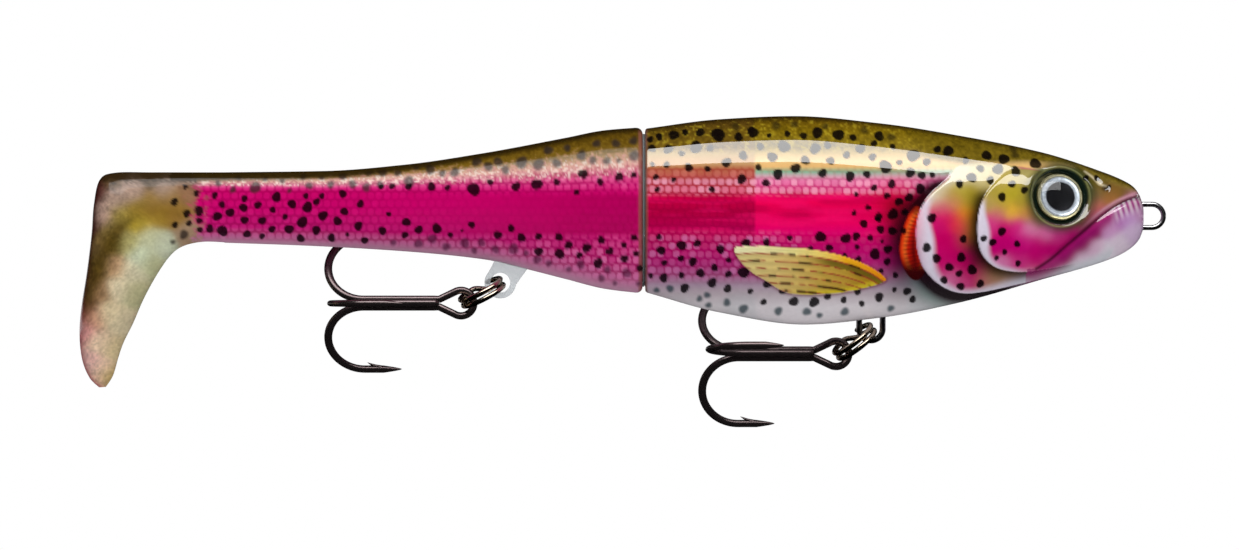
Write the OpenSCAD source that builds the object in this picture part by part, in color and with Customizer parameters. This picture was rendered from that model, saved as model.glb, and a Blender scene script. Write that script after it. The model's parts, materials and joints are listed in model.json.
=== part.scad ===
// Two-piece swimbait: a hollow hard head section, a hinged harness, a soft boot tail that
// screws onto it, and two treble hooks on split rings.
// Frame: origin at the centre of the line tie's eye, +X out of the nose, +Z up.

/* [Head section] */
// Length of the hard section, from the snout to the joint
head_l = 93.2; // [85:0.1:105]
// Depth of the hard section from back to belly
head_h = 39.2; // [36:0.1:43]
// Width of the hard section
head_w = 25; // [23:0.1:28]
// Wall thickness of the two shells
wall = 1.8; // [1.5:0.1:2.4]
// Width of the moulded line round the gill plates
gill_line = 0.7; // [0.4:0.05:1]
// Depth of the moulded lines
line_depth = 0.5; // [0.3:0.05:0.8]

/* [Eyes] */
// Diameter of the eye
eye_d = 8.8; // [7.5:0.1:9.6]
// Thickness of the foil disc behind the dome
eye_disc_t = 0.5; // [0.3:0.05:0.8]
// Height of the clear dome
eye_dome_h = 1.7; // [1.2:0.1:2.2]

/* [Soft tail] */
// Length of the soft tail's trunk, from the joint to the wrist
trunk_l = 79; // [72:0.5:90]
// Depth of the wrist
wrist_h = 13.2; // [11:0.1:15]
// Thickness of the wrist
wrist_w = 6.6; // [5.6:0.1:8]
// Length of the boot behind the wrist
boot_l = 26.9; // [22:0.1:32]
// Height of the boot, from its top edge to its toe
boot_h = 40.6; // [36:0.1:46]
// Width of the boot's heel
boot_w = 15.6; // [12:0.1:20]

/* [Joint] */
// Distance from the seam back to the hinge pin
pin_back = 8; // [7.5:0.1:10]
// Diameter of the hinge pin
pin_d = 2; // [1.6:0.1:2.4]
// Swing of the tail to each side, in degrees
swing = 30; // [15:1:32]
// Swing of the boot to each side, in degrees
kick = 35; // [15:1:40]
// Open gap at the seam
seam_gap = 0.5; // [0.4:0.05:0.8]
// Gap between the knuckle and its socket
knuckle_gap = 0.45; // [0.4:0.05:0.8]
// Width of the rim that the socket leaves on the head
rim_land = 0.6; // [0.5:0.05:1]
// Rounding of the soft tail's front edge
lip_r = 1.3; // [1.2:0.05:1.8]
// Thickness of the hinge plates
hinge_t = 1.2; // [0.8:0.1:1.6]
// Width of the hinge plates
hinge_w = 6; // [5:0.1:7]
// Distance between the two hinge plates
hinge_pitch = 9.4; // [7:0.1:10]

/* [Harness] */
// Length of the plug inside the soft tail
plug_l = 20; // [18:0.5:26]
// Width of the plug
plug_w = 11; // [10:0.5:12]
// Height of the plug
plug_h = 14.4; // [13:0.2:16]
// Thickness of the hook plate
plate_t = 1.8; // [1.2:0.1:2.4]
// Diameter of the hole in the hook plate
lug_hole = 3.7; // [3.5:0.05:4]
// Diameter of the pins that hold the hook plate
plate_pin_d = 1.5; // [1.2:0.1:2]
// Diameter of the corkscrew's coil
screw_d = 6.5; // [5:0.1:7.5]
// Length of the corkscrew's coil
screw_l = 18; // [12:0.5:22]
// Wire diameter of the corkscrew
screw_wire = 1.1; // [0.8:0.05:1.3]

/* [Wire eyes] */
// Wire diameter of the line tie
tie_wire = 0.95; // [0.8:0.05:1.1]
// Inside width of the line tie's eye
tie_gap = 3.4; // [3:0.05:3.8]
// Wire diameter of the belly hanger
hanger_wire = 1.15; // [1:0.05:1.4]
// Inside width of the belly hanger
hanger_gap = 3.25; // [3.2:0.05:3.8]

/* [Hooks and rings] */
// Outside diameter of the split rings
ring_d = 9.4; // [8.8:0.1:10.4]
// Wire diameter of the split rings
ring_wire = 1; // [0.8:0.05:1.1]
// Wire diameter of the hooks
hook_wire = 1.4; // [1.1:0.05:1.5]
// Inside diameter of the hook's eye
hook_eye = 3.4; // [3.3:0.1:4.2]
// Distance from the hook's eye to the centre of its bend
hook_l = 18.3; // [16:0.1:22]
// Radius of the hook's bend, on the wire's centreline
bend_r = 6.8; // [6:0.1:7]
// Length of the straight arm that carries the point
point_l = 6.9; // [5.5:0.1:8]

/* [Ballast] */
// Diameter of the belly weight
weight_d = 8.4; // [6:0.1:8.8]
// Length of the belly weight
weight_l = 26; // [18:0.5:26]
// Diameter of the throat weight
throat_d = 6.4; // [5:0.1:7]
// Length of the throat weight
throat_l = 9; // [6:0.5:10]
// Diameter of the pegs that join the shells
peg_d = 2.4; // [1.8:0.1:3]

/* [Hidden] */
$fn = 48;

fit = 0.08;                 // clearance of a piece in its moulded seat
soft_gap = 0.3;             // clearance round a soft piece

// ---- Smooth curves through chosen points ----

function slope(p, i) = (p[i + 1][1] - p[i][1]) / (p[i + 1][0] - p[i][0]);
// Harmonic mean of the slopes on both sides, so that the curve never overshoots its points
function tangent(p, i) =
    i == 0 ? slope(p, 0) :
    i == len(p) - 1 ? slope(p, i - 1) :
    let (a = slope(p, i - 1), b = slope(p, i)) a * b <= 0 ? 0 : 2 * a * b / (a + b);
function span(p, x, i = 0) = i >= len(p) - 2 || x < p[i + 1][0] ? i : span(p, x, i + 1);
function curve(p, x) =
    let (
        i = span(p, x),
        h = p[i + 1][0] - p[i][0],
        t = max(0, min(1, (x - p[i][0]) / h)),
        a = tangent(p, i) * h,
        b = tangent(p, i + 1) * h
    )
    p[i][1] * (1 + 2 * t) * pow(1 - t, 2) + a * t * pow(1 - t, 2)
        + p[i + 1][1] * t * t * (3 - 2 * t) + b * t * t * (t - 1);
function mix(a, b, t) = a + (b - a) * t;
function power(v, n) = sign(v) * pow(abs(v), n);

// ---- Outlines ----

// Share of the depth above and below the line tie, and share of the half width,
// against the share of the length behind the snout
head_top = [[0, 0.06], [0.006, 0.1], [0.02, 0.143], [0.045, 0.177], [0.085, 0.215],
    [0.2, 0.303], [0.37, 0.385], [0.53, 0.444], [0.7, 0.478], [0.85, 0.463], [1, 0.418]];
head_bottom = [[0, -0.075], [0.006, -0.11], [0.02, -0.148], [0.045, -0.186], [0.085, -0.224],
    [0.2, -0.303], [0.37, -0.416], [0.53, -0.488], [0.68, -0.52], [0.85, -0.462], [1, -0.365]];
head_side = [[0, 0.2], [0.006, 0.28], [0.02, 0.36], [0.045, 0.44], [0.085, 0.53],
    [0.2, 0.73], [0.37, 0.9], [0.53, 0.985], [0.68, 1], [0.85, 0.96], [1, 0.84]];
// Share of the step from the wrist's size to the seam's, against the share of the trunk's length
trunk_top = [[0, 1], [0.095, 0.93], [0.19, 0.76], [0.38, 0.43], [0.57, 0.17], [0.76, 0.03], [1, 0]];
trunk_bottom = [
    [0, 1], [0.095, 0.905], [0.19, 0.71], [0.29, 0.5], [0.38, 0.33], [0.57, 0.17], [0.8, 0.06], [1, 0]
];
trunk_side = [[0, 1], [0.095, 0.91], [0.19, 0.76], [0.38, 0.46], [0.57, 0.25], [0.8, 0.09], [1, 0]];
// The boot's inner and outer edges as shares of its length and height, its half width as a
// share of the heel's, and how far the widest part lies towards the outer edge
boot_rows = [
    // inner x, z   outer x, z   half width  bias
    [0, 0.324,      0, 0,        0.42, 0],
    [0.127, 0.321,   0.22, 0,     0.41, 0],
    [0.234, 0.331,   0.5, 0,      0.43, 0.05],
    [0.312, 0.351,   0.76, 0.002, 0.48, 0.12],
    [0.37, 0.383,   0.865, 0.035, 0.56, 0.2],
    [0.429, 0.434,   0.905, 0.15, 0.67, 0.28],
    [0.502, 0.513,  0.92, 0.29,  0.8, 0.34],
    [0.57, 0.6,    0.95, 0.46,  0.92, 0.38],
    [0.633, 0.697,   0.987, 0.625, 1, 0.38],
    [0.701, 0.788,   1, 0.748,    0.96, 0.34],
    [0.737, 0.857,  0.983, 0.867, 0.78, 0.25],
    [0.774, 0.94,   0.935, 0.95, 0.48, 0.1],
    [0.823, 0.993,  0.87, 0.995, 0.16, 0],
];

full_back = 2.2;            // exponent of a section above its widest level, where 2 is an ellipse
full_belly = 1.85;          // and below it, where the flanks fall in to the belly
widest = 0.52;              // height of the widest level, as a share of a section's depth
tail_proud = 0.3;           // how far the soft tail stands proud of the head, above and below

snout_x = -1.8;
seam_x = snout_x - head_l;
trunk_x = seam_x - seam_gap;
wrist_x = seam_x - trunk_l;

// A section is [x, top, bottom, half width]
function head_at(x) =
    let (s = (snout_x - x) / head_l)
    [x, head_h * curve(head_top, s), head_h * curve(head_bottom, s), head_w / 2 * curve(head_side, s)];
seam = head_at(seam_x);
wrist_top = seam[1] / 2;
wrist = [wrist_x, wrist_top, wrist_top - wrist_h, wrist_w / 2];
function trunk_at(x) =
    let (s = (seam_x - x) / trunk_l)
    [x, mix(wrist[1], seam[1] + tail_proud, curve(trunk_top, s)),
        mix(wrist[2], seam[2] - tail_proud, curve(trunk_bottom, s)),
        mix(wrist[3], seam[3], curve(trunk_side, s))];
function inset(s, d) = [s[0], s[1] - d, s[2] + d, s[3] - d];
function mid(s) = mix(s[2], s[1], widest);
function reach(s, up) = up ? s[1] - mid(s) : mid(s) - s[2];
function fullness(up) = up ? full_back : full_belly;
function half_width(s, z) =
    let (up = z > mid(s), v = abs(z - mid(s)) / reach(s, up))
    v >= 1 ? 0 : s[3] * pow(1 - pow(v, fullness(up)), 1 / fullness(up));
function rim_point(s, t) =
    let (up = cos(t) > 0, n = 2 / fullness(up))
    [s[0], s[3] * power(sin(t), n), mid(s) + reach(s, up) * power(cos(t), n)];
// The whole section, or its left half from the back to the belly
function ring_of(s, n) = [for (i = [0:n - 1]) rim_point(s, 360 * i / n)];
function half_of(s, n, y = 0) =
    [for (i = [0:n]) let (p = rim_point(s, 180 * i / n)) i % n == 0 ? [p[0], y, p[2]] : p];

// Closed skin over a list of sections with the same number of points
module loft(rows) {
    n = len(rows[0]);
    last = len(rows) - 1;
    polyhedron(
        points = [for (r = rows) for (p = r) p],
        faces = concat(
            [for (i = [0:last - 1]) for (j = [0:n - 1]) [i * n + j, (i + 1) * n + j, i * n + (j + 1) % n]],
            [for (i = [0:last - 1]) for (j = [0:n - 1])
                [i * n + (j + 1) % n, (i + 1) * n + j, (i + 1) * n + (j + 1) % n]],
            [for (j = [1:n - 2]) [0, j, j + 1]],
            [for (j = [1:n - 2]) [last * n, last * n + j + 1, last * n + j]]
        ));
}

// Stations from a to b, closer together near a where gather is above 1
function stations(a, b, n, gather = 1) = [for (i = [0:n]) mix(a, b, pow(i / n, gather))];

// ---- Wire ----

module rod(d, a, b) {
    v = b - a;
    l = norm(v);
    translate(a) rotate([0, acos(v[2] / l), atan2(v[1], v[0])]) cylinder(d = d, h = l);
}
// Part of a ring of wire round +Z, from angle a over sweep degrees
module wire_arc(d, r, a, sweep) {
    rotate([0, 0, a]) rotate_extrude(angle = sweep) translate([r, 0]) circle(d = d);
}
// A closed link in the XY plane: two round ends joined by straight legs
module wire_link(d, r_a, r_b, l) {
    wire_arc(d, r_a, -90, 180);
    translate([-l, 0, 0]) wire_arc(d, r_b, 90, 180);
    for (s = [-1, 1]) rod(d, [0, s * r_a, 0], [-l, s * r_b, 0]);
}
// A round wire swept along points. The diameter and the vector that the wire's facets are
// lined up with are given once, or for each point.
function pick(list, v, i) = list ? v[i] : v;
module wire_path(d, pts, sides = 8, axis = [0, 0, 1]) {
    n = len(pts);
    function along(i) = let (v = pts[min(n - 1, i + 1)] - pts[max(0, i - 1)]) v / norm(v);
    loft([for (i = [0:n - 1])
        let (
            u = along(i),
            a = cross(u, pick(is_list(axis[0]), axis, i)),
            p = a / norm(a),
            q = cross(u, p),
            r = pick(is_list(d), d, i) / 2
        )
        [for (k = [0:sides - 1]) pts[i] + r * (p * cos(360 * k / sides) + q * sin(360 * k / sides))]]);
}
// A rod that narrows to a point at b
module spike(d, a, b) {
    v = b - a;
    l = norm(v);
    translate(a) rotate([0, acos(v[2] / l), atan2(v[1], v[0])]) cylinder(d1 = d, d2 = 0.1, h = l);
}
// A smooth run through rows of numbers, with extra rows between them
function smooth(p, n) =
    let (last = len(p) - 1)
    [for (i = [0:last - 1]) for (k = [0:(i == last - 1 ? n : n - 1)])
        let (
            t = k / n,
            a = p[max(0, i - 1)], b = p[i], c = p[i + 1], d = p[min(last, i + 2)]
        )
        b + t / 2 * (c - a) + t * t * (a - 2.5 * b + 2 * c - d / 2)
            + t * t * t * (1.5 * b - 1.5 * c + (d - a) / 2)];
// A moulded line pressed into the left flank along [x, z] points
module flank_line(pts, d = gill_line) {
    wire_path(d, [for (p = smooth(pts, 3))
        [p[0], half_width(head_at(p[0]), p[1]) + d / 2 - line_depth, p[1]]], 6, [0, 1, 0]);
}

// ---- Places ----

axis_z = mid(seam);                         // height of the joint's middle
pin_x = seam_x - pin_back;
tie_r = (tie_gap + tie_wire) / 2;
tie_l = 12;                                 // length of the line tie from arc to arc
hanger_x = snout_x - 0.546 * head_l;
hanger_r = (hanger_gap + hanger_wire) / 2;
hanger_z = head_at(hanger_x)[2] - hanger_gap / 2 - 0.2;
hanger_l = 10;                              // length of the hanger from arc to arc
eye_x = snout_x - 0.172 * head_l;
eye_z = 0.09 * head_h;
eye_y = half_width(head_at(eye_x), eye_z) - 0.4;
eye_span = 6;                               // length over which the flank's slope is taken
eye_turn = atan((half_width(head_at(eye_x - eye_span / 2), eye_z)
    - half_width(head_at(eye_x + eye_span / 2), eye_z)) / eye_span);
eye_lift = atan((half_width(head_at(eye_x), eye_z - eye_span / 2)
    - half_width(head_at(eye_x), eye_z + eye_span / 2)) / eye_span);
eye_sink = 0.9;                             // depth of the eye's seat below the flank

// ---- Joint ----

// Outline of the socket on one side of the pin's axis: as far from the pin as the rim's inner
// edge is at each height, so that the swinging tail always fills it
socket_outline = concat(
    [for (i = [0:18])
        let (p = rim_point(inset(seam, rim_land), 180 * i / 18))
        [norm([p[1], pin_back + 0.05]), p[2]]],
    [[-pin_back, seam[2] + rim_land], [-pin_back, seam[1] - rim_land]]
);
module barrel(grow) {
    translate([pin_x, 0, 0]) rotate([0, 0, 180]) rotate_extrude()
        intersection() {
            offset(delta = grow) polygon(socket_outline);
            translate([0, seam[2] - 10]) square([2 * head_w, head_h + 20]);
        }
}
// Everything a hinge plate passes over while the tail swings
module swing_room(gap) {
    w = hinge_w / 2 + gap;
    a = swing + 2;
    far = pin_back + head_w;
    edge = [-w * sin(a), w * cos(a)];
    tip = edge + far * [cos(a), sin(a)];
    translate([pin_x, 0, -hinge_t / 2 - gap]) linear_extrude(hinge_t + 2 * gap) {
        circle(w);
        polygon([edge, tip, [tip[0], -tip[1]], [edge[0], -edge[1]]]);
    }
}
bulkhead_x = pin_x + norm([seam[3] - rim_land, pin_back]) + wall;
bar_l = 3;                                  // length of the cross bar that keeps a plate in the head
bar_w = hinge_w + 5;
module hinge_plate(gap = 0, bore = true) {
    translate([0, 0, -hinge_t / 2 - gap]) difference() {
        linear_extrude(hinge_t + 2 * gap) {
            translate([pin_x, 0]) circle(d = hinge_w + 2 * gap);
            translate([pin_x, -hinge_w / 2 - gap])
                square([bulkhead_x - pin_x + bar_l / 2, hinge_w + 2 * gap]);
            translate([bulkhead_x + fit - gap, -bar_w / 2 - gap]) square([bar_l + 2 * gap, bar_w + 2 * gap]);
        }
        if (bore) translate([pin_x, 0, -1]) cylinder(d = pin_d + 2 * pin_run, h = hinge_t + 2);
    }
}
pin_run = 0.05;                             // running clearance of the pin in the hinge plates
pin_press = 0.01;                           // clearance of the pin in the plug
module at_hinge_plates() {
    for (s = [-1, 1]) translate([0, 0, axis_z + s * hinge_pitch / 2]) children();
}
module hinge_plates() {
    color("silver") at_hinge_plates() hinge_plate();
}
plug_x = trunk_x - plug_l;
plug_r = 2;
grip_t = 1.4;
module plug(gap = 0) {
    module bar(x, l, grow) {
        translate([x, 0, axis_z]) rotate([90, 0, -90])
            linear_extrude(l) offset(r = plug_r + grow)
                square([plug_w - 2 * plug_r, plug_h - 2 * plug_r], center = true);
    }
    bar(trunk_x, plug_l + gap, gap);
    // Two ribs that keep the soft tail from creeping off
    for (x = [plug_x + 9, plug_x + 4.5]) bar(x + gap, grip_t + 2 * gap, gap + 0.8);
}
// Screw and hook plate share the plug's back end: the screw above, the plate below
screw_z = axis_z + 3.6;
shank_l = 6;
plate_top = axis_z - 0.4;
lug = [seam_x - 0.344 * trunk_l, head_at(seam_x)[2] + 1.8];
lug_r = lug_hole / 2 + 1.1;
plug_bottom = axis_z - plug_h / 2;
module plate_outline() {
    translate([lug[0], lug[1]]) circle(lug_r);
    polygon([
        [plug_x + 7, plate_top], [plug_x - 0.5, plate_top], [plug_x - 5.5, plate_top - 5],
        [lug[0] - 0.6, lug[1] + 5], [lug[0] - lug_r * cos(15), lug[1] + lug_r * sin(15)],
        [lug[0] + lug_r * sin(25), lug[1] - lug_r * cos(25)],
        [lug[0] + 5.8, lug[1] + 3.6], [plug_x + 4.5, plug_bottom], [plug_x + 7, plug_bottom]
    ]);
}
module plate_blank(gap = 0) {
    t = plate_t + 2 * gap;
    translate([0, t / 2, 0]) rotate([90, 0, 0]) linear_extrude(t) offset(delta = gap) plate_outline();
}
pin_spots = [[plug_x + 4.8, axis_z - 2.4], [plug_x + 2.6, axis_z - 5.8]];
pin_inset = 0.8;            // how far the pins' ends stay below the plug's sides
module across(l, d) {
    for (p = pin_spots) translate([p[0], l / 2, p[1]]) rotate([90, 0, 0]) cylinder(d = d, h = l);
}

module joint_block() {
    color([0.75, 0.78, 0.8, 0.6]) difference() {
        union() {
            difference() {
                barrel(-knuckle_gap);
                translate([trunk_x - 100, -50, -50]) cube([100, 100, 100]);
            }
            plug();
        }
        at_hinge_plates() swing_room(0.2);
        translate([pin_x, 0, plug_bottom + 1]) cylinder(d = pin_d + 2 * pin_press, h = head_h);
        plate_blank(fit);
        across(plug_w + 4, plate_pin_d + 2 * pin_press);
        translate([plug_x + shank_l, 0, screw_z]) rotate([0, -90, 0])
            cylinder(d = screw_wire + 2 * fit, h = shank_l + 1);
    }
}
module hinge_pin() {
    color("silver") translate([pin_x, 0, plug_bottom + 1]) cylinder(d = pin_d, h = plug_h - 1.2);
}
module hook_plate() {
    color([0.85, 0.88, 0.9, 0.5]) difference() {
        plate_blank();
        translate([lug[0], plate_t, lug[1]]) rotate([90, 0, 0]) cylinder(d = lug_hole, h = 2 * plate_t);
        across(plate_t + 2, plate_pin_d + 2 * pin_press);
    }
}
module plate_pins() {
    color("silver") across(plug_w - 2 * pin_inset, plate_pin_d);
}
module corkscrew() {
    turns = 3.5;
    steps = 14;
    r = (screw_d - screw_wire) / 2;
    lead = 3;
    coil = [for (i = [0:turns * steps])
        let (t = i / (turns * steps), a = 360 * i / steps, grow = min(1, i / steps * 1.6))
        [plug_x - lead - (screw_l - lead) * t, r * grow * sin(a), screw_z + r * grow * cos(a)]];
    color("silver") wire_path(screw_wire,
        concat([[plug_x + shank_l - 0.3, 0, screw_z], [plug_x - lead / 2, 0, screw_z]], coil), 8,
        concat([[0, 1, 0], [0, 1, 0]], [for (p = coil) [1, 0, 0]]));
}

// ---- Soft tail ----

trunk_sides = 26;
wrist_gap = 0.4;
nose_r = wrist[3];
module at_wrist() {
    translate([wrist_x, 0, 0]) children();
}
module tail_trunk() {
    color("mediumvioletred") difference() {
        loft(concat(
            [for (a = [0, 35, 62])
                ring_of(inset(trunk_at(trunk_x - lip_r * (1 - cos(a))), lip_r * (1 - sin(a))), trunk_sides)],
            [for (x = stations(trunk_x - lip_r, wrist_x, 20)) ring_of(trunk_at(x), trunk_sides)]));
        plug(fit);
        plate_blank(soft_gap);
        at_hinge_plates() swing_room(soft_gap);
        at_wrist() translate([0, 0, -head_h]) cylinder(r = nose_r + wrist_gap, h = 2 * head_h);
    }
}
function boot_ring(row, n) =
    let (
        top = wrist[1],
        inner = [wrist_x - row[0] * boot_l, top - row[1] * boot_h],
        outer = [wrist_x - row[2] * boot_l, top - row[3] * boot_h],
        w = row[4] * boot_w / 2
    )
    [for (i = [0:n - 1])
        let (
            a = 360 * i / n,
            c = cos(a),
            t = (1 + (c > 0 ? pow(c, 2 / full_back) : -pow(-c, 2 / full_back))) / 2,
            bulge = w * power(sin(a), 2 / full_back) * (1 + row[5] * (2 * t - 1))
        )
        [mix(inner[0], outer[0], t), bulge, mix(inner[1], outer[1], t)]];
module tail_boot() {
    color("khaki") {
        loft([for (r = smooth(boot_rows, 2)) boot_ring(r, 24)]);
        intersection() {
            at_wrist() rotate([90, 0, 90]) linear_extrude(nose_r + 1)
                polygon([for (p = boot_ring(boot_rows[0], 24)) [p[1], p[2]]]);
            at_wrist() translate([0, 0, -head_h]) cylinder(r = nose_r, h = 2 * head_h);
        }
    }
}

// ---- Head ----

module at_eye() {
    translate([eye_x, eye_y, eye_z]) rotate([0, 0, -eye_turn]) rotate([eye_lift - 90, 0, 0]) children();
}
bezel_d = eye_d + 3;
module eye_disc() {
    at_eye() translate([0, 0, -eye_sink]) cylinder(d = eye_d, h = eye_disc_t);
}
module eye_dome() {
    r = (eye_d * eye_d / 4 + eye_dome_h * eye_dome_h) / (2 * eye_dome_h);
    base = -eye_sink + eye_disc_t;
    at_eye() intersection() {
        translate([0, 0, base + eye_dome_h - r]) sphere(r);
        translate([0, 0, base]) cylinder(d = eye_d + 1, h = eye_dome_h + 1);
    }
}
// Pegs sit near the back and belly, clear of the weights
peg_spots = [
    [snout_x - 0.3 * head_l, 0.2 * head_h], [snout_x - 0.6 * head_l, 0.3 * head_h],
    [snout_x - 0.82 * head_l, 0.27 * head_h], [snout_x - 0.46 * head_l, -0.27 * head_h]
];
peg_l = 5;
module peg(d, y, l) {
    for (p = peg_spots) translate([p[0], y, p[1]]) rotate([-90, 0, 0]) cylinder(d = d, h = l);
}
// A post that runs from the parting plane into the left flank
module post(x, z, d) {
    s = inset(head_at(x), wall / 2);
    translate([x, 0, z]) rotate([-90, 0, 0])
        cylinder(d = d, h = min(half_width(s, z - d / 2), half_width(s, z + d / 2)));
}
weight_x = hanger_x - hanger_r - hanger_wire - 1;       // front end of the belly weight
weight_z = inset(head_at(weight_x - weight_l), wall)[2] + weight_d / 2 + 1.6;
throat_x = snout_x - 0.3 * head_l;
throat_z = inset(head_at(throat_x), wall)[2] + throat_d / 2 + 1.6;
module weight(x, z, d, l) {
    bevel = 1.2;
    translate([x, 0, z]) rotate([0, -90, 0]) {
        translate([0, 0, bevel]) cylinder(d = d, h = l - 2 * bevel);
        cylinder(d1 = d - 2 * bevel, d2 = d, h = bevel);
        translate([0, 0, l - bevel]) cylinder(d1 = d, d2 = d - 2 * bevel, h = bevel);
    }
}
rib_t = 1.4;
// A cross wall of the left shell up to the height top, with a seat for a weight
module rib(x, top, d) {
    s = inset(head_at(x + rib_t / 2), wall * 0.6);
    below = [for (p = half_of(s, 20)) if (p[2] < top - 0.1) [p[2], p[1]]];
    difference() {
        translate([x + rib_t / 2, 0, 0]) rotate([0, -90, 0]) linear_extrude(rib_t)
            polygon(concat([[top, 0], [top, half_width(s, top)]], below));
        translate([x + rib_t, 0, top]) rotate([0, -90, 0]) cylinder(d = d + 2 * fit, h = 2 * rib_t);
    }
}
fin_root = [snout_x - 0.53 * head_l, -0.3 * head_h];
fin_tips = [[-0.815, -0.15], [-0.823, -0.2], [-0.8, -0.25], [-0.77, -0.3], [-0.735, -0.345], [-0.69, -0.375]];
function fin_tip(t) = [snout_x + t[0] * head_l, t[1] * head_h];
function head_point(p) = [snout_x - p[0] * head_l, p[1] * head_h];
module flank_curve(pts, d = gill_line) {
    flank_line([for (p = pts) head_point(p)], d);
}
module moulded_lines() {
    // Front and rear gill plates
    flank_curve([[0.29, 0.2], [0.325, 0.07], [0.338, -0.065], [0.32, -0.19], [0.268, -0.262],
        [0.205, -0.243]]);
    flank_curve([[0.425, 0.14], [0.455, 0.03], [0.462, -0.085], [0.437, -0.24], [0.37, -0.365],
        [0.285, -0.355]]);
    // Mouth and the fold above it
    flank_curve([[0.19, -0.2], [0.135, -0.1], [0.075, 0.01], [0.026, 0.075]], gill_line + 0.3);
    flank_curve([[0.12, -0.065], [0.085, 0.02], [0.05, 0.1]]);
    // Pectoral fin: its edge and its rays
    flank_line(concat([fin_root + [0.3, 1.2]], [for (t = fin_tips) fin_tip(t)], [fin_root - [4, 2.2]]));
    for (i = [1:4])
        flank_line([fin_root - [3, 0.6], mix(fin_root, fin_tip(fin_tips[i]), 0.55), fin_tip(fin_tips[i])],
            gill_line * 0.8);
}
shell_sides = 18;
module head_shell(pegs) {
    nose_l = 7.5;                           // solid length behind the snout
    difference() {
        union() {
            difference() {
                loft([for (x = stations(snout_x, seam_x, 30, 1.7)) half_of(head_at(x), shell_sides)]);
                difference() {
                    loft([for (x = stations(snout_x - nose_l, seam_x - 1, 14))
                        half_of(inset(head_at(x), wall), 12, -1)]);
                    barrel(wall);
                }
            }
            post(-tie_l, 0, tie_gap - 2 * fit);
            post(hanger_x, hanger_z + hanger_l, hanger_gap - 2 * fit);
            for (p = peg_spots) post(p[0], p[1], peg_d + 3);
            for (x = [weight_x - 4, weight_x - weight_l / 2, weight_x - weight_l + 4])
                rib(x, weight_z, weight_d);
            for (x = [throat_x - 2, throat_x - throat_l + 2]) rib(x, throat_z, throat_d);
            intersection() {
                at_eye() translate([0, 0, -3]) cylinder(d = eye_d + 3, h = 3 - eye_sink);
                translate([eye_x - head_w, 0, eye_z - head_h]) cube([2 * head_w, head_w, 2 * head_h]);
            }
            at_eye() translate([0, 0, -2.4]) cylinder(d1 = bezel_d + 3, d2 = bezel_d - 0.6, h = 2.4);
            if (pegs) peg(peg_d, -peg_l / 2, peg_l);
        }
        barrel(0);
        at_eye() translate([0, 0, -eye_sink]) cylinder(d = eye_d + 2 * fit, h = 6);
        for (s = [-1, 1]) rod(tie_wire + 2 * fit, [3, 0, s * tie_r], [-tie_l, 0, s * tie_r]);
        for (s = [-1, 1])
            rod(hanger_wire + 2 * fit, [hanger_x + s * hanger_r, 0, hanger_z - 3],
                [hanger_x + s * hanger_r, 0, hanger_z + hanger_l]);
        at_hinge_plates() hinge_plate(fit, false);
        moulded_lines();
        translate([snout_x - 0.08 * head_l, 0, 0.13 * head_h]) rotate([-90, 0, -20]) cylinder(d = 1, h = 20);
        if (!pegs) peg(peg_d + 2 * fit, -1, peg_l / 2 + 1.3);
    }
}
module head_shell_left() {
    color("olive") head_shell(true);
}
module head_shell_right() {
    color("olive") mirror([0, 1, 0]) head_shell(false);
}
module eye_disc_left() {
    color("silver") eye_disc();
}
module eye_disc_right() {
    color("silver") mirror([0, 1, 0]) eye_disc();
}
module eye_dome_left() {
    color([0.9, 0.95, 1, 0.4]) eye_dome();
}
module eye_dome_right() {
    color([0.9, 0.95, 1, 0.4]) mirror([0, 1, 0]) eye_dome();
}
module line_tie() {
    color("silver") rotate([90, 0, 0]) wire_link(tie_wire, tie_r, tie_r, tie_l);
}
module belly_hanger() {
    color("silver") translate([hanger_x, 0, hanger_z]) rotate([0, 90, 0]) rotate([90, 0, 0])
        wire_link(hanger_wire, hanger_r, hanger_r, hanger_l);
}
module belly_weight() {
    color("dimgray") weight(weight_x, weight_z, weight_d, weight_l);
}
module throat_weight() {
    color("dimgray") weight(throat_x, throat_z, throat_d, throat_l);
}

// ---- Split rings and hooks ----

coil_r = (ring_d - ring_wire) / 2;
coil_gap = 0.25;
coil_pitch = ring_wire + coil_gap;
ring_slack = 0.3;           // how far the ring's wire lies from the middle of the eye it hangs in
hook_slack = 0.2;           // how far the middle of the hook's eye hangs beyond the ring's wire
slip = 1.5;                 // how far the front hook has slid round its ring
eye_r = (hook_eye + hook_wire) / 2;
// Two coils side by side, joined where one crosses over to the other
module split_ring() {
    steps = 22;             // points along each turn
    cross_over = 40;        // angle over which the wire crosses from one coil to the other
    start = 110;
    function rise(a) = let (t = max(0, min(1, (a - start - 360 + cross_over) / cross_over)))
        coil_pitch * (t * t * (3 - 2 * t) - 0.5);
    wire_path(ring_wire, [for (i = [0:2 * steps - 2])
        let (a = start + i * (720 - cross_over) / (2 * steps - 2))
        [coil_r * cos(a), coil_r * sin(a), rise(a)]], 10);
}
neck_a = 30;                // slope of the eye's legs towards the shank
shank_gap = 0.04;
shank_half = (hook_wire + shank_gap) / 2;
// The legs leave the eye's round part at leg_top and meet the shank's line at neck_x
leg_top = eye_r * [-sin(neck_a), cos(neck_a)];
neck_x = leg_top[0] - (leg_top[1] - shank_half) / tan(neck_a);
wire_sides = 10;
tip_l = point_l * 0.5;
third_l = hook_l - 1.2;     // the third hook is brazed on a little nearer to the eye
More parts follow.
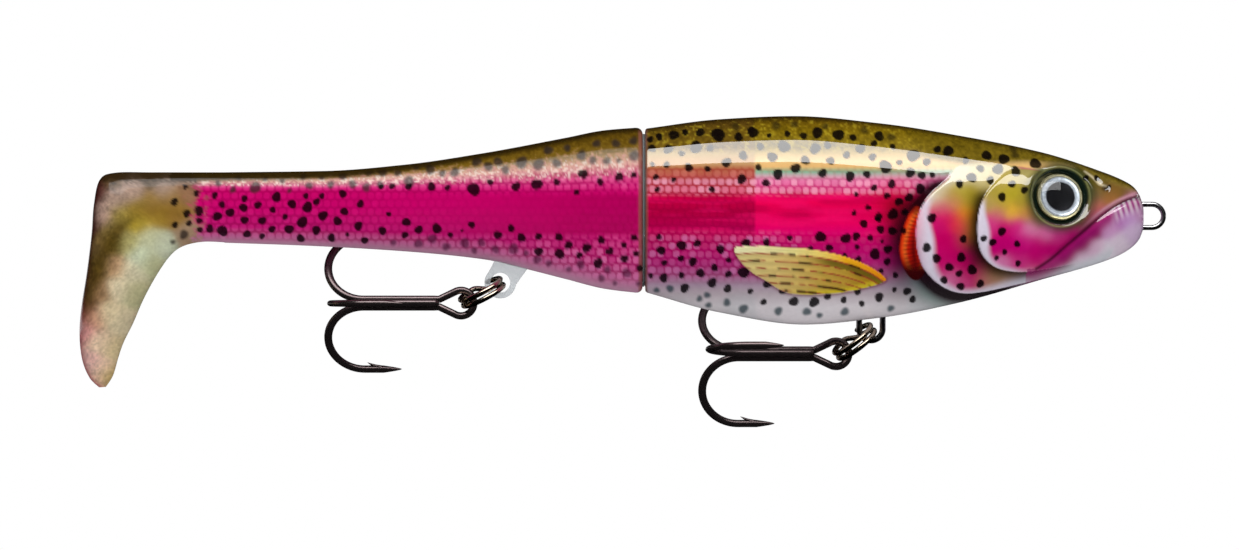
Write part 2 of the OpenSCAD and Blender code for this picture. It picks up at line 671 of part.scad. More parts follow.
// One hook of the treble, from its point to the start of its shank. Its shank lies at the
// [y, z] place from, and it bends towards out.
function arm_path(from, out, l = hook_l) =
    let (
        base = [0, from[0], from[1]],
        side = [0, out[0], out[1]],
        arm = base + 2 * bend_r * side,
        x = [1, 0, 0]
    )
    concat(
        [arm + (point_l - l) * x, arm + (point_l - tip_l - l) * x],
        [for (a = [0:18:180]) base - l * x + bend_r * ((1 + cos(a)) * side - sin(a) * x)],
        [base - (l - neck_x) / 2 * x, base + (neck_x - 0.6) * x]);
function arm_width(n) = [for (i = [0:n - 1]) i == 0 ? 0.1 : hook_wire];
module barb(from, out, l = hook_l) {
    arm = from + 2 * bend_r * out;
    root = arm - 0.15 * out;
    end = arm - 1.5 * out;
    x = point_l - tip_l - l;
    spike(hook_wire * 0.8, [x - 0.4, root[0], root[1]], [x - 3.2, end[0], end[1]], $fn = 6);
}
function reversed(v) = [for (i = [len(v) - 1:-1:0]) v[i]];
module hook_pair() {
    up = arm_path([0, shank_half], [cos(60), sin(60)]);
    down = arm_path([0, -shank_half], [cos(60), -sin(60)]);
    leg = [neck_x + 0.6 * cos(neck_a), shank_half + 0.6 * sin(neck_a)];
    eye = concat(
        [[leg[0], 0, leg[1]]],
        [for (a = [90 + neck_a:-20:-90 - neck_a]) eye_r * [cos(a), 0, sin(a)]],
        [[leg[0], 0, -leg[1]]]);
    pts = concat(up, eye, reversed(down));
    n = len(up) - 2;
    wire_path(concat(arm_width(len(up)), [for (p = eye) hook_wire], reversed(arm_width(len(down)))),
        pts, wire_sides, concat(
            [for (i = [1:n]) [0, -sin(60), cos(60)]], [[0, -sin(75), cos(75)], [0, -1, 0]],
            [for (p = eye) [0, -1, 0]],
            [[0, -1, 0], [0, -sin(75), -cos(75)]], [for (i = [1:n]) [0, -sin(60), -cos(60)]]));
    for (s = [-1, 1]) barb([0, s * shank_half], [cos(60), s * sin(60)]);
}
module hook_third() {
    from = [-sqrt(3) * shank_half, 0];
    pts = arm_path(from, [-1, 0], third_l);
    wire_path(arm_width(len(pts)), pts, wire_sides, [0, 0, 1]);
    barb(from, [-1, 0], third_l);
}
// Where a ring and its hook hang, from the middle of the eye that holds them
front_tilt = 38;
rear_tilt = 27.5;
ring_roll = 10;             // roll of a ring about the line from its eye to its hook
module at_ring(at, tilt) {
    translate(at) rotate([0, -tilt, 0]) translate([ring_slack - coil_r, 0, 0])
        rotate([ring_roll, 0, 0]) children();
}
function hook_place(at, tilt, y) =
    let (
        l = coil_r - ring_slack + sqrt(coil_r * coil_r - y * y) + hook_slack,
        side = y * cos(ring_roll),
        rise = y * sin(ring_roll))
    [at[0] - l * cos(tilt) - rise * sin(tilt), side, at[1] - l * sin(tilt) + rise * cos(tilt)];
hanger = [hanger_x, hanger_z];
// The front treble is rolled about its shank until its upper arm clears the belly
arm_clear = 0.4;
front_eye = hook_place(hanger, front_tilt, slip);
function arm_room(roll) =
    let (a = 60 - roll, reach = 2 * bend_r, z = front_eye[2] + shank_half + reach * sin(a))
    front_eye[1] + reach * cos(a) - hook_wire / 2
        - max([for (x = [point_l / 2:2:hook_l]) half_width(head_at(front_eye[0] - x), z)]);
function clear_roll(roll = 0) = arm_room(roll) > arm_clear || roll > 60 ? roll : clear_roll(roll + 0.5);
module at_front_hook() {
    translate(front_eye) rotate([-clear_roll(), 0, 0]) children();
}
module front_split_ring() {
    color("silver") at_ring([hanger[0], 0, hanger[1]], front_tilt) split_ring();
}
module rear_split_ring() {
    color("silver") at_ring([lug[0], 0, lug[1]], rear_tilt) split_ring();
}
module front_hook_pair() {
    color("dimgray") at_front_hook() hook_pair();
}
module front_hook_third() {
    color("dimgray") at_front_hook() hook_third();
}
module rear_hook_pair() {
    color("dimgray") translate(hook_place(lug, rear_tilt, 0)) hook_pair();
}
module rear_hook_third() {
    color("dimgray") translate(hook_place(lug, rear_tilt, 0)) hook_third();
}

head_shell_right();
head_shell_left();
eye_disc_right();
eye_disc_left();
eye_dome_right();
eye_dome_left();
line_tie();
belly_hanger();
hinge_plates();
belly_weight();
throat_weight();
joint_block();
hinge_pin();
hook_plate();
plate_pins();
corkscrew();
tail_trunk();
tail_boot();
front_split_ring();
front_hook_pair();
front_hook_third();
rear_split_ring();
rear_hook_pair();
rear_hook_third();
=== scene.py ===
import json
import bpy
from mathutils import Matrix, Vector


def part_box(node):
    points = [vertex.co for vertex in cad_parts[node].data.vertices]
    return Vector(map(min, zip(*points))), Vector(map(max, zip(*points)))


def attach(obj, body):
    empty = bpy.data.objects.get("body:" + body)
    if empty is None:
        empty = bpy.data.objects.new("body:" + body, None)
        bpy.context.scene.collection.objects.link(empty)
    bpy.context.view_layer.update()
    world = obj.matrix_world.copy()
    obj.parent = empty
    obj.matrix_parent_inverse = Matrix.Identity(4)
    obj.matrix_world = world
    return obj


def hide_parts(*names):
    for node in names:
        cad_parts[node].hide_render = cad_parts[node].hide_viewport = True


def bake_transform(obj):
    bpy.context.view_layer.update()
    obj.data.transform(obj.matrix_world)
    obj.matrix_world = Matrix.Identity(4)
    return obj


bl_info = {
    "name": "Jointed soft-tail swimbait",
    "version": (1, 0, 0),
    "blender": (4, 5, 0),
    "location": "3D View > Sidebar > Swimbait",
    "description": "Dresses a jointed swimbait: painted head, soft tail, eyes, wire, rings and hooks",
    "category": "Object",
}

import bpy
import numpy as np
from mathutils import Vector

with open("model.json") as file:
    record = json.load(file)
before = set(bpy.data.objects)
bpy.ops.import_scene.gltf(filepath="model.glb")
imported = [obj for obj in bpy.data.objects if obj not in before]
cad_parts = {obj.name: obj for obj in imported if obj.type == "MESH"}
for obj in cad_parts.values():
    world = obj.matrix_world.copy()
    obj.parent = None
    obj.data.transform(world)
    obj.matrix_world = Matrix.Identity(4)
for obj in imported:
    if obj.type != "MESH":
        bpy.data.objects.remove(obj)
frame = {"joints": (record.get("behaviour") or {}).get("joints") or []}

MM = 0.001
SEED = 7
# Share of the depth above and below the line tie, and share of the half width,
# against the share of the head's length behind the snout
HEAD_TOP = ((0, 0.06), (0.006, 0.1), (0.02, 0.143), (0.045, 0.177), (0.085, 0.215),
            (0.2, 0.303), (0.37, 0.385), (0.53, 0.444), (0.7, 0.478), (0.85, 0.463), (1, 0.418))
HEAD_BOTTOM = ((0, -0.075), (0.006, -0.11), (0.02, -0.148), (0.045, -0.186), (0.085, -0.224),
               (0.2, -0.303), (0.37, -0.416), (0.53, -0.488), (0.68, -0.52), (0.85, -0.462), (1, -0.365))
HEAD_SIDE = ((0, 0.2), (0.006, 0.28), (0.02, 0.36), (0.045, 0.44), (0.085, 0.53),
             (0.2, 0.73), (0.37, 0.9), (0.53, 0.985), (0.68, 1), (0.85, 0.96), (1, 0.84))
# Share of the step from the wrist's size to the seam's, against the share of the trunk's length
TRUNK_TOP = ((0, 1), (0.095, 0.93), (0.19, 0.76), (0.38, 0.43), (0.57, 0.17), (0.76, 0.03), (1, 0))
TRUNK_BOTTOM = ((0, 1), (0.095, 0.905), (0.19, 0.71), (0.29, 0.5), (0.38, 0.33), (0.57, 0.17),
                (0.8, 0.06), (1, 0))
TRUNK_SIDE = ((0, 1), (0.095, 0.91), (0.19, 0.76), (0.38, 0.46), (0.57, 0.25), (0.8, 0.09), (1, 0))
# The boot: inner x and z, outer x and z, half width, and how far the widest part lies outwards,
# as shares of its length, height and heel width
BOOT_ROWS = (
    (0, 0.324, 0, 0, 0.42, 0),
    (0.127, 0.321, 0.22, 0, 0.41, 0),
    (0.234, 0.331, 0.5, 0, 0.43, 0.05),
    (0.312, 0.351, 0.76, 0.002, 0.48, 0.12),
    (0.37, 0.383, 0.865, 0.035, 0.56, 0.2),
    (0.429, 0.434, 0.905, 0.15, 0.67, 0.28),
    (0.502, 0.513, 0.92, 0.29, 0.8, 0.34),
    (0.57, 0.6, 0.95, 0.46, 0.92, 0.38),
    (0.633, 0.697, 0.987, 0.625, 1, 0.38),
    (0.701, 0.788, 1, 0.748, 0.96, 0.34),
    (0.737, 0.857, 0.983, 0.867, 0.78, 0.25),
    (0.774, 0.94, 0.935, 0.95, 0.48, 0.1),
    (0.823, 0.993, 0.87, 0.995, 0.16, 0),
)
# Share of the boot's height at which its rows end, and how far they swell past their half width
BOOT_DEPTH = 0.997
BOOT_SWELL = 1.05
# Exponents of the sections above and below their widest level, and that level as a share
FULL_BACK = 2.2
FULL_BELLY = 1.85
WIDEST = 0.52


def joint_place(name):
    """The place of a joint's axis, in millimetres."""
    spot = next(j for j in frame["joints"] if j["name"] == name)["pos_m"]
    return np.array(spot) / MM


def node_box(name):
    """Lowest and highest corner of a CAD node, in millimetres."""
    low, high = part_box(name)
    return np.array(low) / MM, np.array(high) / MM


HEAD_LOW, HEAD_HIGH = node_box("head_shell_left")
SNOUT_X = HEAD_HIGH[0]
SEAM_X = HEAD_LOW[0]
HEAD_L = SNOUT_X - SEAM_X
HEAD_H = HEAD_HIGH[2] / max(share for _, share in HEAD_TOP)
HEAD_W = 2 * HEAD_HIGH[1]
TRUNK_X = node_box("tail_trunk")[1][0]
WRIST_X = joint_place("boot_kick")[0]
PIN_X = joint_place("tail_swing")[0]
BOOT_LOW, BOOT_HIGH = node_box("tail_boot")
BOOT_L = WRIST_X - BOOT_LOW[0]
BOOT_W = BOOT_HIGH[1] * 2


# ---- Settings ----

def lin(*rgb):
    """Linear colour of a colour written in the usual 0 to 255 steps."""
    c = np.array(rgb, float) / 255
    return np.where(c <= 0.04045, c / 12.92, ((c + 0.055) / 1.055) ** 2.4)


def tone(name, description, *rgb):
    """A colour setting whose default is written in the usual 0 to 255 steps."""
    return bpy.props.FloatVectorProperty(name=name, description=description, subtype="COLOR", size=3,
                                         min=0, max=1, default=tuple(float(v) for v in lin(*rgb)))


def span(name, description, default, low, high):
    """A length setting. The default and the limits are given in millimetres."""
    return bpy.props.FloatProperty(name=name, description=description, subtype="DISTANCE", unit="LENGTH",
                                   precision=5, default=default * MM, min=low * MM, max=high * MM)


class SwimbaitPaint(bpy.types.PropertyGroup):
    """Colours of the head's and tail's paint."""
    back: tone("Back", "Olive along the back", 112, 88, 8)
    band: tone("Band", "Solid band along the head's flank", 246, 2, 82)
    tail_band: tone("Tail band", "Flank of the soft tail", 206, 4, 108)
    belly: tone("Belly", "Pearl of the belly", 172, 166, 170)
    ink: tone("Ink", "Spots on the flanks", 8, 4, 8)
    belly_ink: tone("Belly ink", "Blurred spots on the belly", 36, 70, 78)
    net: tone("Net", "Lines between the scales", 158, 4, 84)
    shadow: tone("Shadow", "Airbrushed shadow behind the gill plates", 16, 5, 9)
    gill: tone("Gill", "Gill that shows behind the rear plate", 214, 26, 20)
    plate_rim: tone("Plate rim", "Pearl along the gill plates' rear edges", 234, 226, 240)
    fin: tone("Fin", "Pale web of the pectoral fin", 244, 232, 150)
    boot: tone("Boot", "Gold of the tail's boot", 137, 108, 40)


class SwimbaitFittings(bpy.types.PropertyGroup):
    """Colours of the metal, foil and clear parts."""
    hook: tone("Hooks", "Black nickel of the treble hooks", 104, 92, 92)
    ring: tone("Rings", "Nickel of the split rings", 196, 180, 160)
    wire: tone("Wire", "Stainless wire of the line tie, hanger, pins and screw", 208, 208, 210)
    plate: tone("Hinge plates", "Stamped steel of the hinge plates", 160, 160, 162)
    lead: tone("Weights", "Cast lead", 84, 86, 92)
    clear: tone("Clear plastic", "Tint of the clear joint block and hook plate", 226, 230, 232)
    foil: tone("Eye foil", "Silver ring of the eye", 206, 214, 222)
    pupil: tone("Pupil", "Pupil of the eye", 6, 6, 10)


class SwimbaitSizes(bpy.types.PropertyGroup):
    """Sizes of the moulded, printed and bent details."""
    plate_rise: span("Plate rise", "Height of the gill plates' rear edges", 0.55, 0, 1)
    fin_rise: span("Fin rise", "Height of the pectoral fin", 0.28, 0, 0.6)
    mouth_depth: span("Mouth depth", "Depth of the mouth's groove", 0.55, 0, 1)
    scale_pitch: span("Scale pitch", "Distance between rows of scales", 1.5, 0.8, 2.5)
    pupil_width: span("Pupil width", "Diameter of the eye's pupil", 5.0, 3, 7)
    dome_rise: span("Dome rise", "Height of the clear dome over the eye", 1.7, 0.8, 1.8)
    tail_lip: span("Tail lip", "Radius of the soft tail's front edge", 1.3, 0.5, 2)


def millimetres(sizes, name):
    """A length setting in millimetres."""
    return getattr(sizes, name) / MM


# ---- Curves and sections ----

def run(points, s):
    """Smooth curve through points: a cubic between each two, whose slope at a point is the
    harmonic mean of the slopes on both sides, so that it never overshoots."""
    p = np.array(points, float)
    h = np.diff(p[:, 0])
    m = np.diff(p[:, 1]) / h
    product, total = m[:-1] * m[1:], m[:-1] + m[1:]
    inner = np.where(product > 0, 2 * product / np.where(total == 0, 1, total), 0)
    slope = np.concatenate([m[:1], inner, m[-1:]])
    i = np.clip(np.searchsorted(p[:, 0], s, side="right") - 1, 0, len(h) - 1)
    t = np.clip((s - p[i, 0]) / h[i], 0, 1)
    return (p[i, 1] * (1 + 2 * t) * (1 - t) ** 2 + slope[i] * h[i] * t * (1 - t) ** 2
            + p[i + 1, 1] * t * t * (3 - 2 * t) + slope[i + 1] * h[i] * t * t * (t - 1))


def through(rows, n):
    """Rows of numbers with n steps between each two, on a Catmull-Rom curve through them."""
    p = np.array(rows, float)
    ext = np.vstack([p[:1], p, p[-1:]])
    s = np.linspace(0, len(p) - 1, n * (len(p) - 1) + 1)
    i = np.minimum(s.astype(int), len(p) - 2)
    t = (s - i)[:, None]
    a, b, c, d = ext[i], ext[i + 1], ext[i + 2], ext[i + 3]
    square, cube = a - 2.5 * b + 2 * c - d / 2, 1.5 * b - 1.5 * c + (d - a) / 2
    return b + t / 2 * (c - a) + t * t * square + t ** 3 * cube


def blend_in(x, low, high):
    """0 below low, 1 above high, and a smooth step between."""
    t = np.clip((x - low) / (high - low), 0, 1)
    return t * t * (3 - 2 * t)


def bell(v, wide):
    """1 at zero, and a fall to both sides that is wide for a large width."""
    return np.exp(-(v / wide) ** 2)


def head_section(x):
    """Top, bottom and half width of the head at x."""
    s = (SNOUT_X - x) / HEAD_L
    return HEAD_H * run(HEAD_TOP, s), HEAD_H * run(HEAD_BOTTOM, s), HEAD_W / 2 * run(HEAD_SIDE, s)


SEAM_TOP, SEAM_BOTTOM, SEAM_HALF = (float(v) for v in head_section(np.float64(SEAM_X)))
WRIST_TOP = SEAM_TOP / 2
WRIST_H = 13.2
WRIST_HALF = 3.3
TAIL_PROUD = 0.3
# The head's rear: rounding of the rim, width of the flat land round the socket, and the room
# that the tail's front corner keeps from the socket's wall
RIM_R = 0.35
LAND = 0.6
SWING_ROOM = 0.14


def trunk_section(x):
    """Top, bottom and half width of the soft tail's trunk at x."""
    s = np.clip((SEAM_X - x) / (SEAM_X - WRIST_X), 0, 1)
    a, b, c = run(TRUNK_TOP, s), run(TRUNK_BOTTOM, s), run(TRUNK_SIDE, s)
    return (WRIST_TOP + (SEAM_TOP + TAIL_PROUD - WRIST_TOP) * a,
            WRIST_TOP - WRIST_H + (SEAM_BOTTOM - TAIL_PROUD - WRIST_TOP + WRIST_H) * b,
            WRIST_HALF + (SEAM_HALF - WRIST_HALF) * c)


def middle(top, bottom):
    return bottom + (top - bottom) * WIDEST


def rim(top, bottom, half, angle):
    """Point of a rounded section at an angle from the back: a superellipse that is fuller above
    its widest level than below it."""
    c, s = np.cos(angle), np.sin(angle)
    up = c > 0
    n = 2 / np.where(up, FULL_BACK, FULL_BELLY)
    mid = middle(top, bottom)
    y = half * np.sign(s) * np.abs(s) ** n
    z = mid + np.where(up, top - mid, mid - bottom) * np.sign(c) * np.abs(c) ** n
    return y, z


def loop_at(x, top, bottom, half, angle, inset=0.0):
    """Points of a rounded section at x, drawn in from its rim by an inset."""
    y, z = rim(top - inset, bottom + inset, half - inset, angle)
    return np.stack([np.broadcast_to(x, y.shape), y, z], -1)


def half_width(top, bottom, half, z):
    """Half width of a section at height z."""
    mid = middle(top, bottom)
    up = z > mid
    n = np.where(up, FULL_BACK, FULL_BELLY)
    v = np.clip(np.abs(z - mid) / np.where(up, top - mid, mid - bottom), 0, 1)
    return half * (1 - v ** n) ** (1 / n)


def socket_wall(z):
    """Half width of the socket's edge in the head's rear at height z."""
    return half_width(SEAM_TOP - LAND, SEAM_BOTTOM + LAND, SEAM_HALF - LAND, z)


# ---- Meshes ----

def grid_mesh(name, *grids):
    """One mesh over grids of rows, each row a closed loop. The first and last row of each grid
    are drawn together by a fan to their middle point."""
    points, triangles, quads, shift = [], [], [], 0
    for grid in grids:
        rows, cols = grid.shape[:2]
        j, k = np.arange(cols), np.roll(np.arange(cols), -1)
        i = shift + cols * np.arange(rows - 1)[:, None]
        quads.append(np.stack([i + j, i + k, i + cols + k, i + cols + j], -1).reshape(-1, 4))
        first = shift + rows * cols
        end = first - cols
        triangles.append(np.stack([np.full(cols, first), shift + k, shift + j], -1))
        triangles.append(np.stack([np.full(cols, first + 1), end + j, end + k], -1))
        points.extend((grid.reshape(-1, 3), grid[0].mean(0)[None], grid[-1].mean(0)[None]))
        shift = first + 2
    points, quads, triangles = (np.concatenate(part) for part in (points, quads, triangles))
    corners = np.concatenate([quads.ravel(), triangles.ravel()]).astype(np.int32)
    starts = np.concatenate([4 * np.arange(len(quads)), 4 * len(quads) + 3 * np.arange(len(triangles))])
    mesh = bpy.data.meshes.new(name)
    mesh.vertices.add(len(points))
    mesh.vertices.foreach_set("co", (points * MM).astype(np.float32).ravel())
    mesh.loops.add(len(corners))
    mesh.loops.foreach_set("vertex_index", corners)
    mesh.polygons.add(len(starts))
    mesh.polygons.foreach_set("loop_start", starts.astype(np.int32))
    mesh.polygons.foreach_set("use_smooth", np.ones(len(starts), bool))
    mesh.update(calc_edges=True)
    return mesh


def piece(name, mesh, finish, body, *nodes):
    """Put a finished mesh into the scene, on a body, in place of CAD nodes."""
    obj = bpy.data.objects.new(name, mesh)
    bpy.context.scene.collection.objects.link(obj)
    mesh.materials.append(finish)
    if body:
        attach(obj, body)
    if nodes:
        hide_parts(*nodes)
    return obj


def swept(path, radius, sides, normal=None, flatten=None):
    """Grid of a round wire carried along a path. Each ring stands square to the path; its frame
    is carried from ring to ring without twist. flatten gives the share by which the wire is
    squeezed along the given normal at each point, as on a forged bend."""
    path = np.asarray(path, float)
    n = len(path)
    along = np.gradient(path, axis=0)
    along /= np.linalg.norm(along, axis=1, keepdims=True)
    side = np.zeros_like(path)
    start = np.array(normal if normal is not None else (0, 0, 1), float)
    for i in range(n):
        start = start - along[i] * (start @ along[i])
        start /= np.linalg.norm(start)
        side[i] = start
    up = np.cross(along, side)
    angle = 2 * np.pi * np.arange(sides) / sides
    r = np.broadcast_to(np.asarray(radius, float), (n,))[:, None, None]
    squeeze = np.ones(n) if flatten is None else np.asarray(flatten)
    squeeze = squeeze[:, None, None]
    return (path[:, None] + r * (np.cos(angle)[None, :, None] * side[:, None] * squeeze
                                 + np.sin(angle)[None, :, None] * up[:, None] / np.sqrt(squeeze)))


def wire(node, metal, body, *grids):
    """Put a bent wire's mesh into the scene in place of its CAD node."""
    piece("wire_" + node, grid_mesh("wire_" + node, *grids), metal, body, node)


# ---- The skins' shapes ----

# Rows and columns of the grids, and their rows over the socket and along the trunk and the boot
HEAD_ROWS = 400
HEAD_COLS = 190
SOCKET_ROWS = 14
TRUNK_ROWS = 340
BOOT_STEPS = 14
TAIL_COLS = 180
# How much closer the head's rows lie at the snout, as a power, and the depth of the shell's last
# row behind the seam
ROW_POWER = 1.25
POLE_DEPTH = 10
EYE = np.array((-17.83, 7.968, 3.528))
# The eye's radius, the radius of the raised ring round its seat, and the level of the seat's
# floor and of the foil's back
EYE_R = 4.4
SEAT_RING = 6.3
SEAT_FLOOR = -0.95
EYE_SEAT = -0.9
FOIL_T = 0.5
EYE_TURN, EYE_LIFT = np.radians(12.48), np.radians(11.59)
EYE_OUT = np.array((np.sin(EYE_TURN) * np.cos(EYE_LIFT), np.cos(EYE_TURN) * np.cos(EYE_LIFT),
                    np.sin(EYE_LIFT)))
PLATE_REAR = ((-36.5, 9.4), (-38.9, 6.8), (-42, 4.1), (-43.9, 1.5), (-44.8, -1.5), (-44.9, -4.2), (-44.5, -7),
              (-43.4, -9.8), (-41.2, -12.2), (-38.6, -13.8), (-35.6, -14.5), (-31.8, -14.2), (-25.7, -12.9),
              (-16, -10.6), (-8, -7.5), (-8, 3), (-20, 8), (-30, 9.6))
PLATE_FRONT = ((-27.5, 8.2), (-29.6, 6.6), (-31.8, 4.1), (-32.9, 1.8), (-33.4, -0.6), (-33.5, -3.2),
               (-33, -6.2),
               (-31.8, -8.2), (-30, -9.6), (-27.6, -10.3), (-24.5, -10.5), (-20.5, -10), (-16.5, -9.3),
               (-12, -8), (-8, -5), (-8, 2), (-16, 7), (-24, 8.6))
GILL = ((-44.6, 1.8), (-46, 0.7), (-47.2, -2), (-47.9, -5), (-47.9, -7.4), (-47.1, -9.9), (-45.6, -11.8),
        (-44, -11.8), (-42.6, -9), (-43, -4), (-43.4, 0))
FIN = ((-78.5, -6.3), (-78.1, -5.85), (-74.9, -5.7), (-70, -5.85), (-65.1, -6.25), (-60.25, -7.05), (-57, -8),
       (-53.75, -9.3), (-51.2, -10.9), (-50.3, -11.8), (-50.7, -12.4), (-52.1, -12.95), (-55.4, -13.8),
       (-57.65, -14.25), (-60.25, -14.6), (-64.15, -14.8), (-67.4, -14.65), (-69, -14.3), (-70.5, -13.6),
       (-72.3, -12.4), (-73.7, -11.6), (-74.9, -10.9), (-75.9, -10.1), (-76.9, -9.2), (-77.8, -8.1),
       (-78.5, -6.9))
FIN_TOP = ((-79, -5.85), (-74.9, -5.7), (-70, -5.85), (-65.1, -6.25), (-60.25, -7.05), (-57, -8),
           (-53.75, -9.3), (-51.2, -10.9), (-49.5, -12.4))


def smooth_outline(points, n=4):
    """A closed outline drawn as a Catmull-Rom curve through its points."""
    p = np.array(points, float)
    return through(np.vstack([p[-2:], p, p[:2]]), n)[2 * n:-2 * n - 1 + n]


REAR_EDGE = smooth_outline(PLATE_REAR)
FRONT_EDGE = smooth_outline(PLATE_FRONT)
GILL_EDGE = smooth_outline(GILL)
FIN_EDGE = smooth_outline(FIN, 2)
MOUTH = through(((-22.2, -9.9), (-19.6, -8.2), (-16.6, -5.6), (-13.2, -2.7), (-9.8, 0.1), (-6.6, 2.1),
                 (-3.6, 3.3), (-1.2, 3.7)), 6)


def line_distance(line, x, z):
    """Distance of points from an open line in the side view, and the share of the line's length
    at the nearest place."""
    p = np.asarray(line, float)
    best, where = np.full(x.shape, 1e9), np.zeros(x.shape)
    lengths = np.hypot(*np.diff(p, axis=0).T)
    before = np.concatenate([[0], np.cumsum(lengths)])
    for a, b, start, length in zip(p[:-1], p[1:], before, lengths):
        e = b - a
        t = np.clip(((x - a[0]) * e[0] + (z - a[1]) * e[1]) / (e @ e), 0, 1)
        d = np.hypot(x - a[0] - t * e[0], z - a[1] - t * e[1])
        where = np.where(d < best, (start + t * length) / before[-1], where)
        best = np.minimum(best, d)
    return best, where


def signed_distance(outline, x, z):
    """Distance of points from a closed outline in the side view, positive inside. The number of
    edges crossed to the right gives the side."""
    p = np.vstack([outline, outline[:1]])
    inside = np.zeros(x.shape, bool)
    for a, b in zip(p[:-1], p[1:]):
        e = b - a
        crosses = (a[1] > z) != (b[1] > z)
        inside ^= crosses & (x < a[0] + (z - a[1]) * e[0] / np.where(e[1] == 0, 1e-9, e[1]))
    best, _ = line_distance(p, x, z)
    return np.where(inside, best, -best)


def inside_edges(x, z):
    """How far inside the rear plate, the front plate, the gill and the fin points lie."""
    return [signed_distance(edge, x, z) for edge in (REAR_EDGE, FRONT_EDGE, GILL_EDGE, FIN_EDGE)]


def lip(inside, length):
    """Height of a gill plate for the distance inside its outline: a steep rise at the edge that
    dies away over a length, and a shallow gutter outside."""
    rise = np.clip(inside / 0.45, 0, 1) ** 0.5 * np.exp(-np.maximum(inside, 0) / length)
    return np.where(inside > 0, rise, -0.25 * bell(inside, 0.9))


def relief(x, z, sizes):
    """Height of the moulded features above the head's smooth flank: the gill plates stand up
    towards their rear edges, the fin stands up with a furrow between its rays, the mouth is a
    groove under a swollen lip and the nostril is a pit."""
    rear, front, gill, fin = inside_edges(x, z)
    ahead = blend_in(x, -14, -24) * blend_in(z, 9.4, 4.5)
    rise = millimetres(sizes, "plate_rise")
    out = rise * lip(rear, 6) * ahead
    out += 0.9 * rise * lip(front, 5) * ahead
    out += 0.2 * blend_in(gill, -0.2, 0.5) * (rear < 0)
    furrows = 1 + 0.25 * np.cos(fin_ray(x, z) * 2 * np.pi)
    out += millimetres(sizes, "fin_rise") * blend_in(fin, -0.35, 0.35) * furrows
    near, share = line_distance(MOUTH, x, z)
    out -= millimetres(sizes, "mouth_depth") * bell(near, 0.55) * blend_in(share, 0, 0.25)
    out -= 0.5 * bell(np.hypot(x + 9.2, z - 5.1), 0.55)
    brow, _ = line_distance(((-12.3, 8.2), (-10.4, 7.2), (-9.4, 6)), x, z)
    return out + 0.3 * bell(brow, 0.6)


def fin_ray(x, z):
    """How far below the fin's top edge a point lies, counted in rays: the rays run along that
    edge, and draw a little closer together towards the fin's root."""
    return (run(FIN_TOP, x) - z) / np.interp(x, (-78, -62, -51), (1.38, 1.32, 1.15))


def head_grid(side, sizes):
    """One shell of the head as a grid. Each row follows the flank from back to belly and comes
    back along the parting face. Past the rim the rows draw in to the middle over the socket,
    whose depth is the distance of the rim from the pin at each height."""
    s = np.linspace(0, 1, HEAD_ROWS) ** ROW_POWER
    x = SNOUT_X - s * (HEAD_L - RIM_R)
    angle = np.linspace(0, np.pi, HEAD_COLS)
    base = loop_at(x[:, None], *(part[:, None] for part in head_section(x)), angle[None])
    down = np.gradient(base, axis=1)
    back = np.gradient(base, axis=0)
    out = np.cross(back, down)
    out /= np.maximum(np.linalg.norm(out, axis=2, keepdims=True), 1e-9)
    out *= np.sign(out[:, HEAD_COLS // 2, 1])[:, None, None]
    from_eye = base - EYE
    level = from_eye @ EYE_OUT
    across = np.linalg.norm(from_eye - level[..., None] * EYE_OUT, axis=2)
    fade = np.minimum(1, np.sin(angle)[None] * 3)
    moved = base + out * (relief(base[..., 0], base[..., 2], sizes) * fade)[..., None]
    # The eye's seat: a raised ring, a dished wall and a flat floor under the foil
    ring = 0.35 * bell(across - SEAT_RING, 0.9) * (level > -6)
    moved += out * ring[..., None]
    want = SEAT_FLOOR + 0.75 * blend_in(across, EYE_R, 5.7)
    sink = blend_in(across, SEAT_RING, 5.5) * (base[..., 1] > 0)
    here = (moved - EYE) @ EYE_OUT
    moved += (sink * (want - here))[..., None] * EYE_OUT
    rows = [moved]
    # Rounded rim, flat land and socket
    seam = SEAM_TOP, SEAM_BOTTOM, SEAM_HALF
    for a in np.radians((30, 60, 90)):
        rows.append(loop_at(SEAM_X + RIM_R * (1 - np.sin(a)), *seam, angle, RIM_R * (1 - np.cos(a)))[None])
    edge = loop_at(SEAM_X, *seam, angle, LAND)
    depth = np.hypot(edge[:, 1], PIN_X - SEAM_X + 0.05)
    for share in np.concatenate([[1], np.sin(np.linspace(np.pi / 2, 0.02, SOCKET_ROWS))[1:]]):
        y = share * edge[:, 1]
        rows.append(np.stack([PIN_X + np.sqrt(np.maximum(depth ** 2 - y ** 2, 0)), y, edge[:, 2]], -1)[None])
    skin = np.concatenate(rows)
    skin[:, 0, 1] = 0
    skin[:, -1, 1] = 0
    share = np.linspace(0, 1, 8)[None, 1:-1, None]
    inner = skin[:, -1:] + (skin[:, :1] - skin[:, -1:]) * share
    wall = np.hypot(socket_wall(inner[..., 2]), PIN_X - SEAM_X)
    inner[..., 0] = np.maximum(inner[..., 0], PIN_X + wall)
    grid = np.concatenate([skin, inner], 1)
    pole = np.array([SEAM_X + POLE_DEPTH, 0, inner[-1, :, 2].mean()])
    grid = np.concatenate([grid, pole + 0.02 * (grid[-1:] - pole)])
    grid[..., 1] *= side
    return grid if side > 0 else grid[:, ::-1]


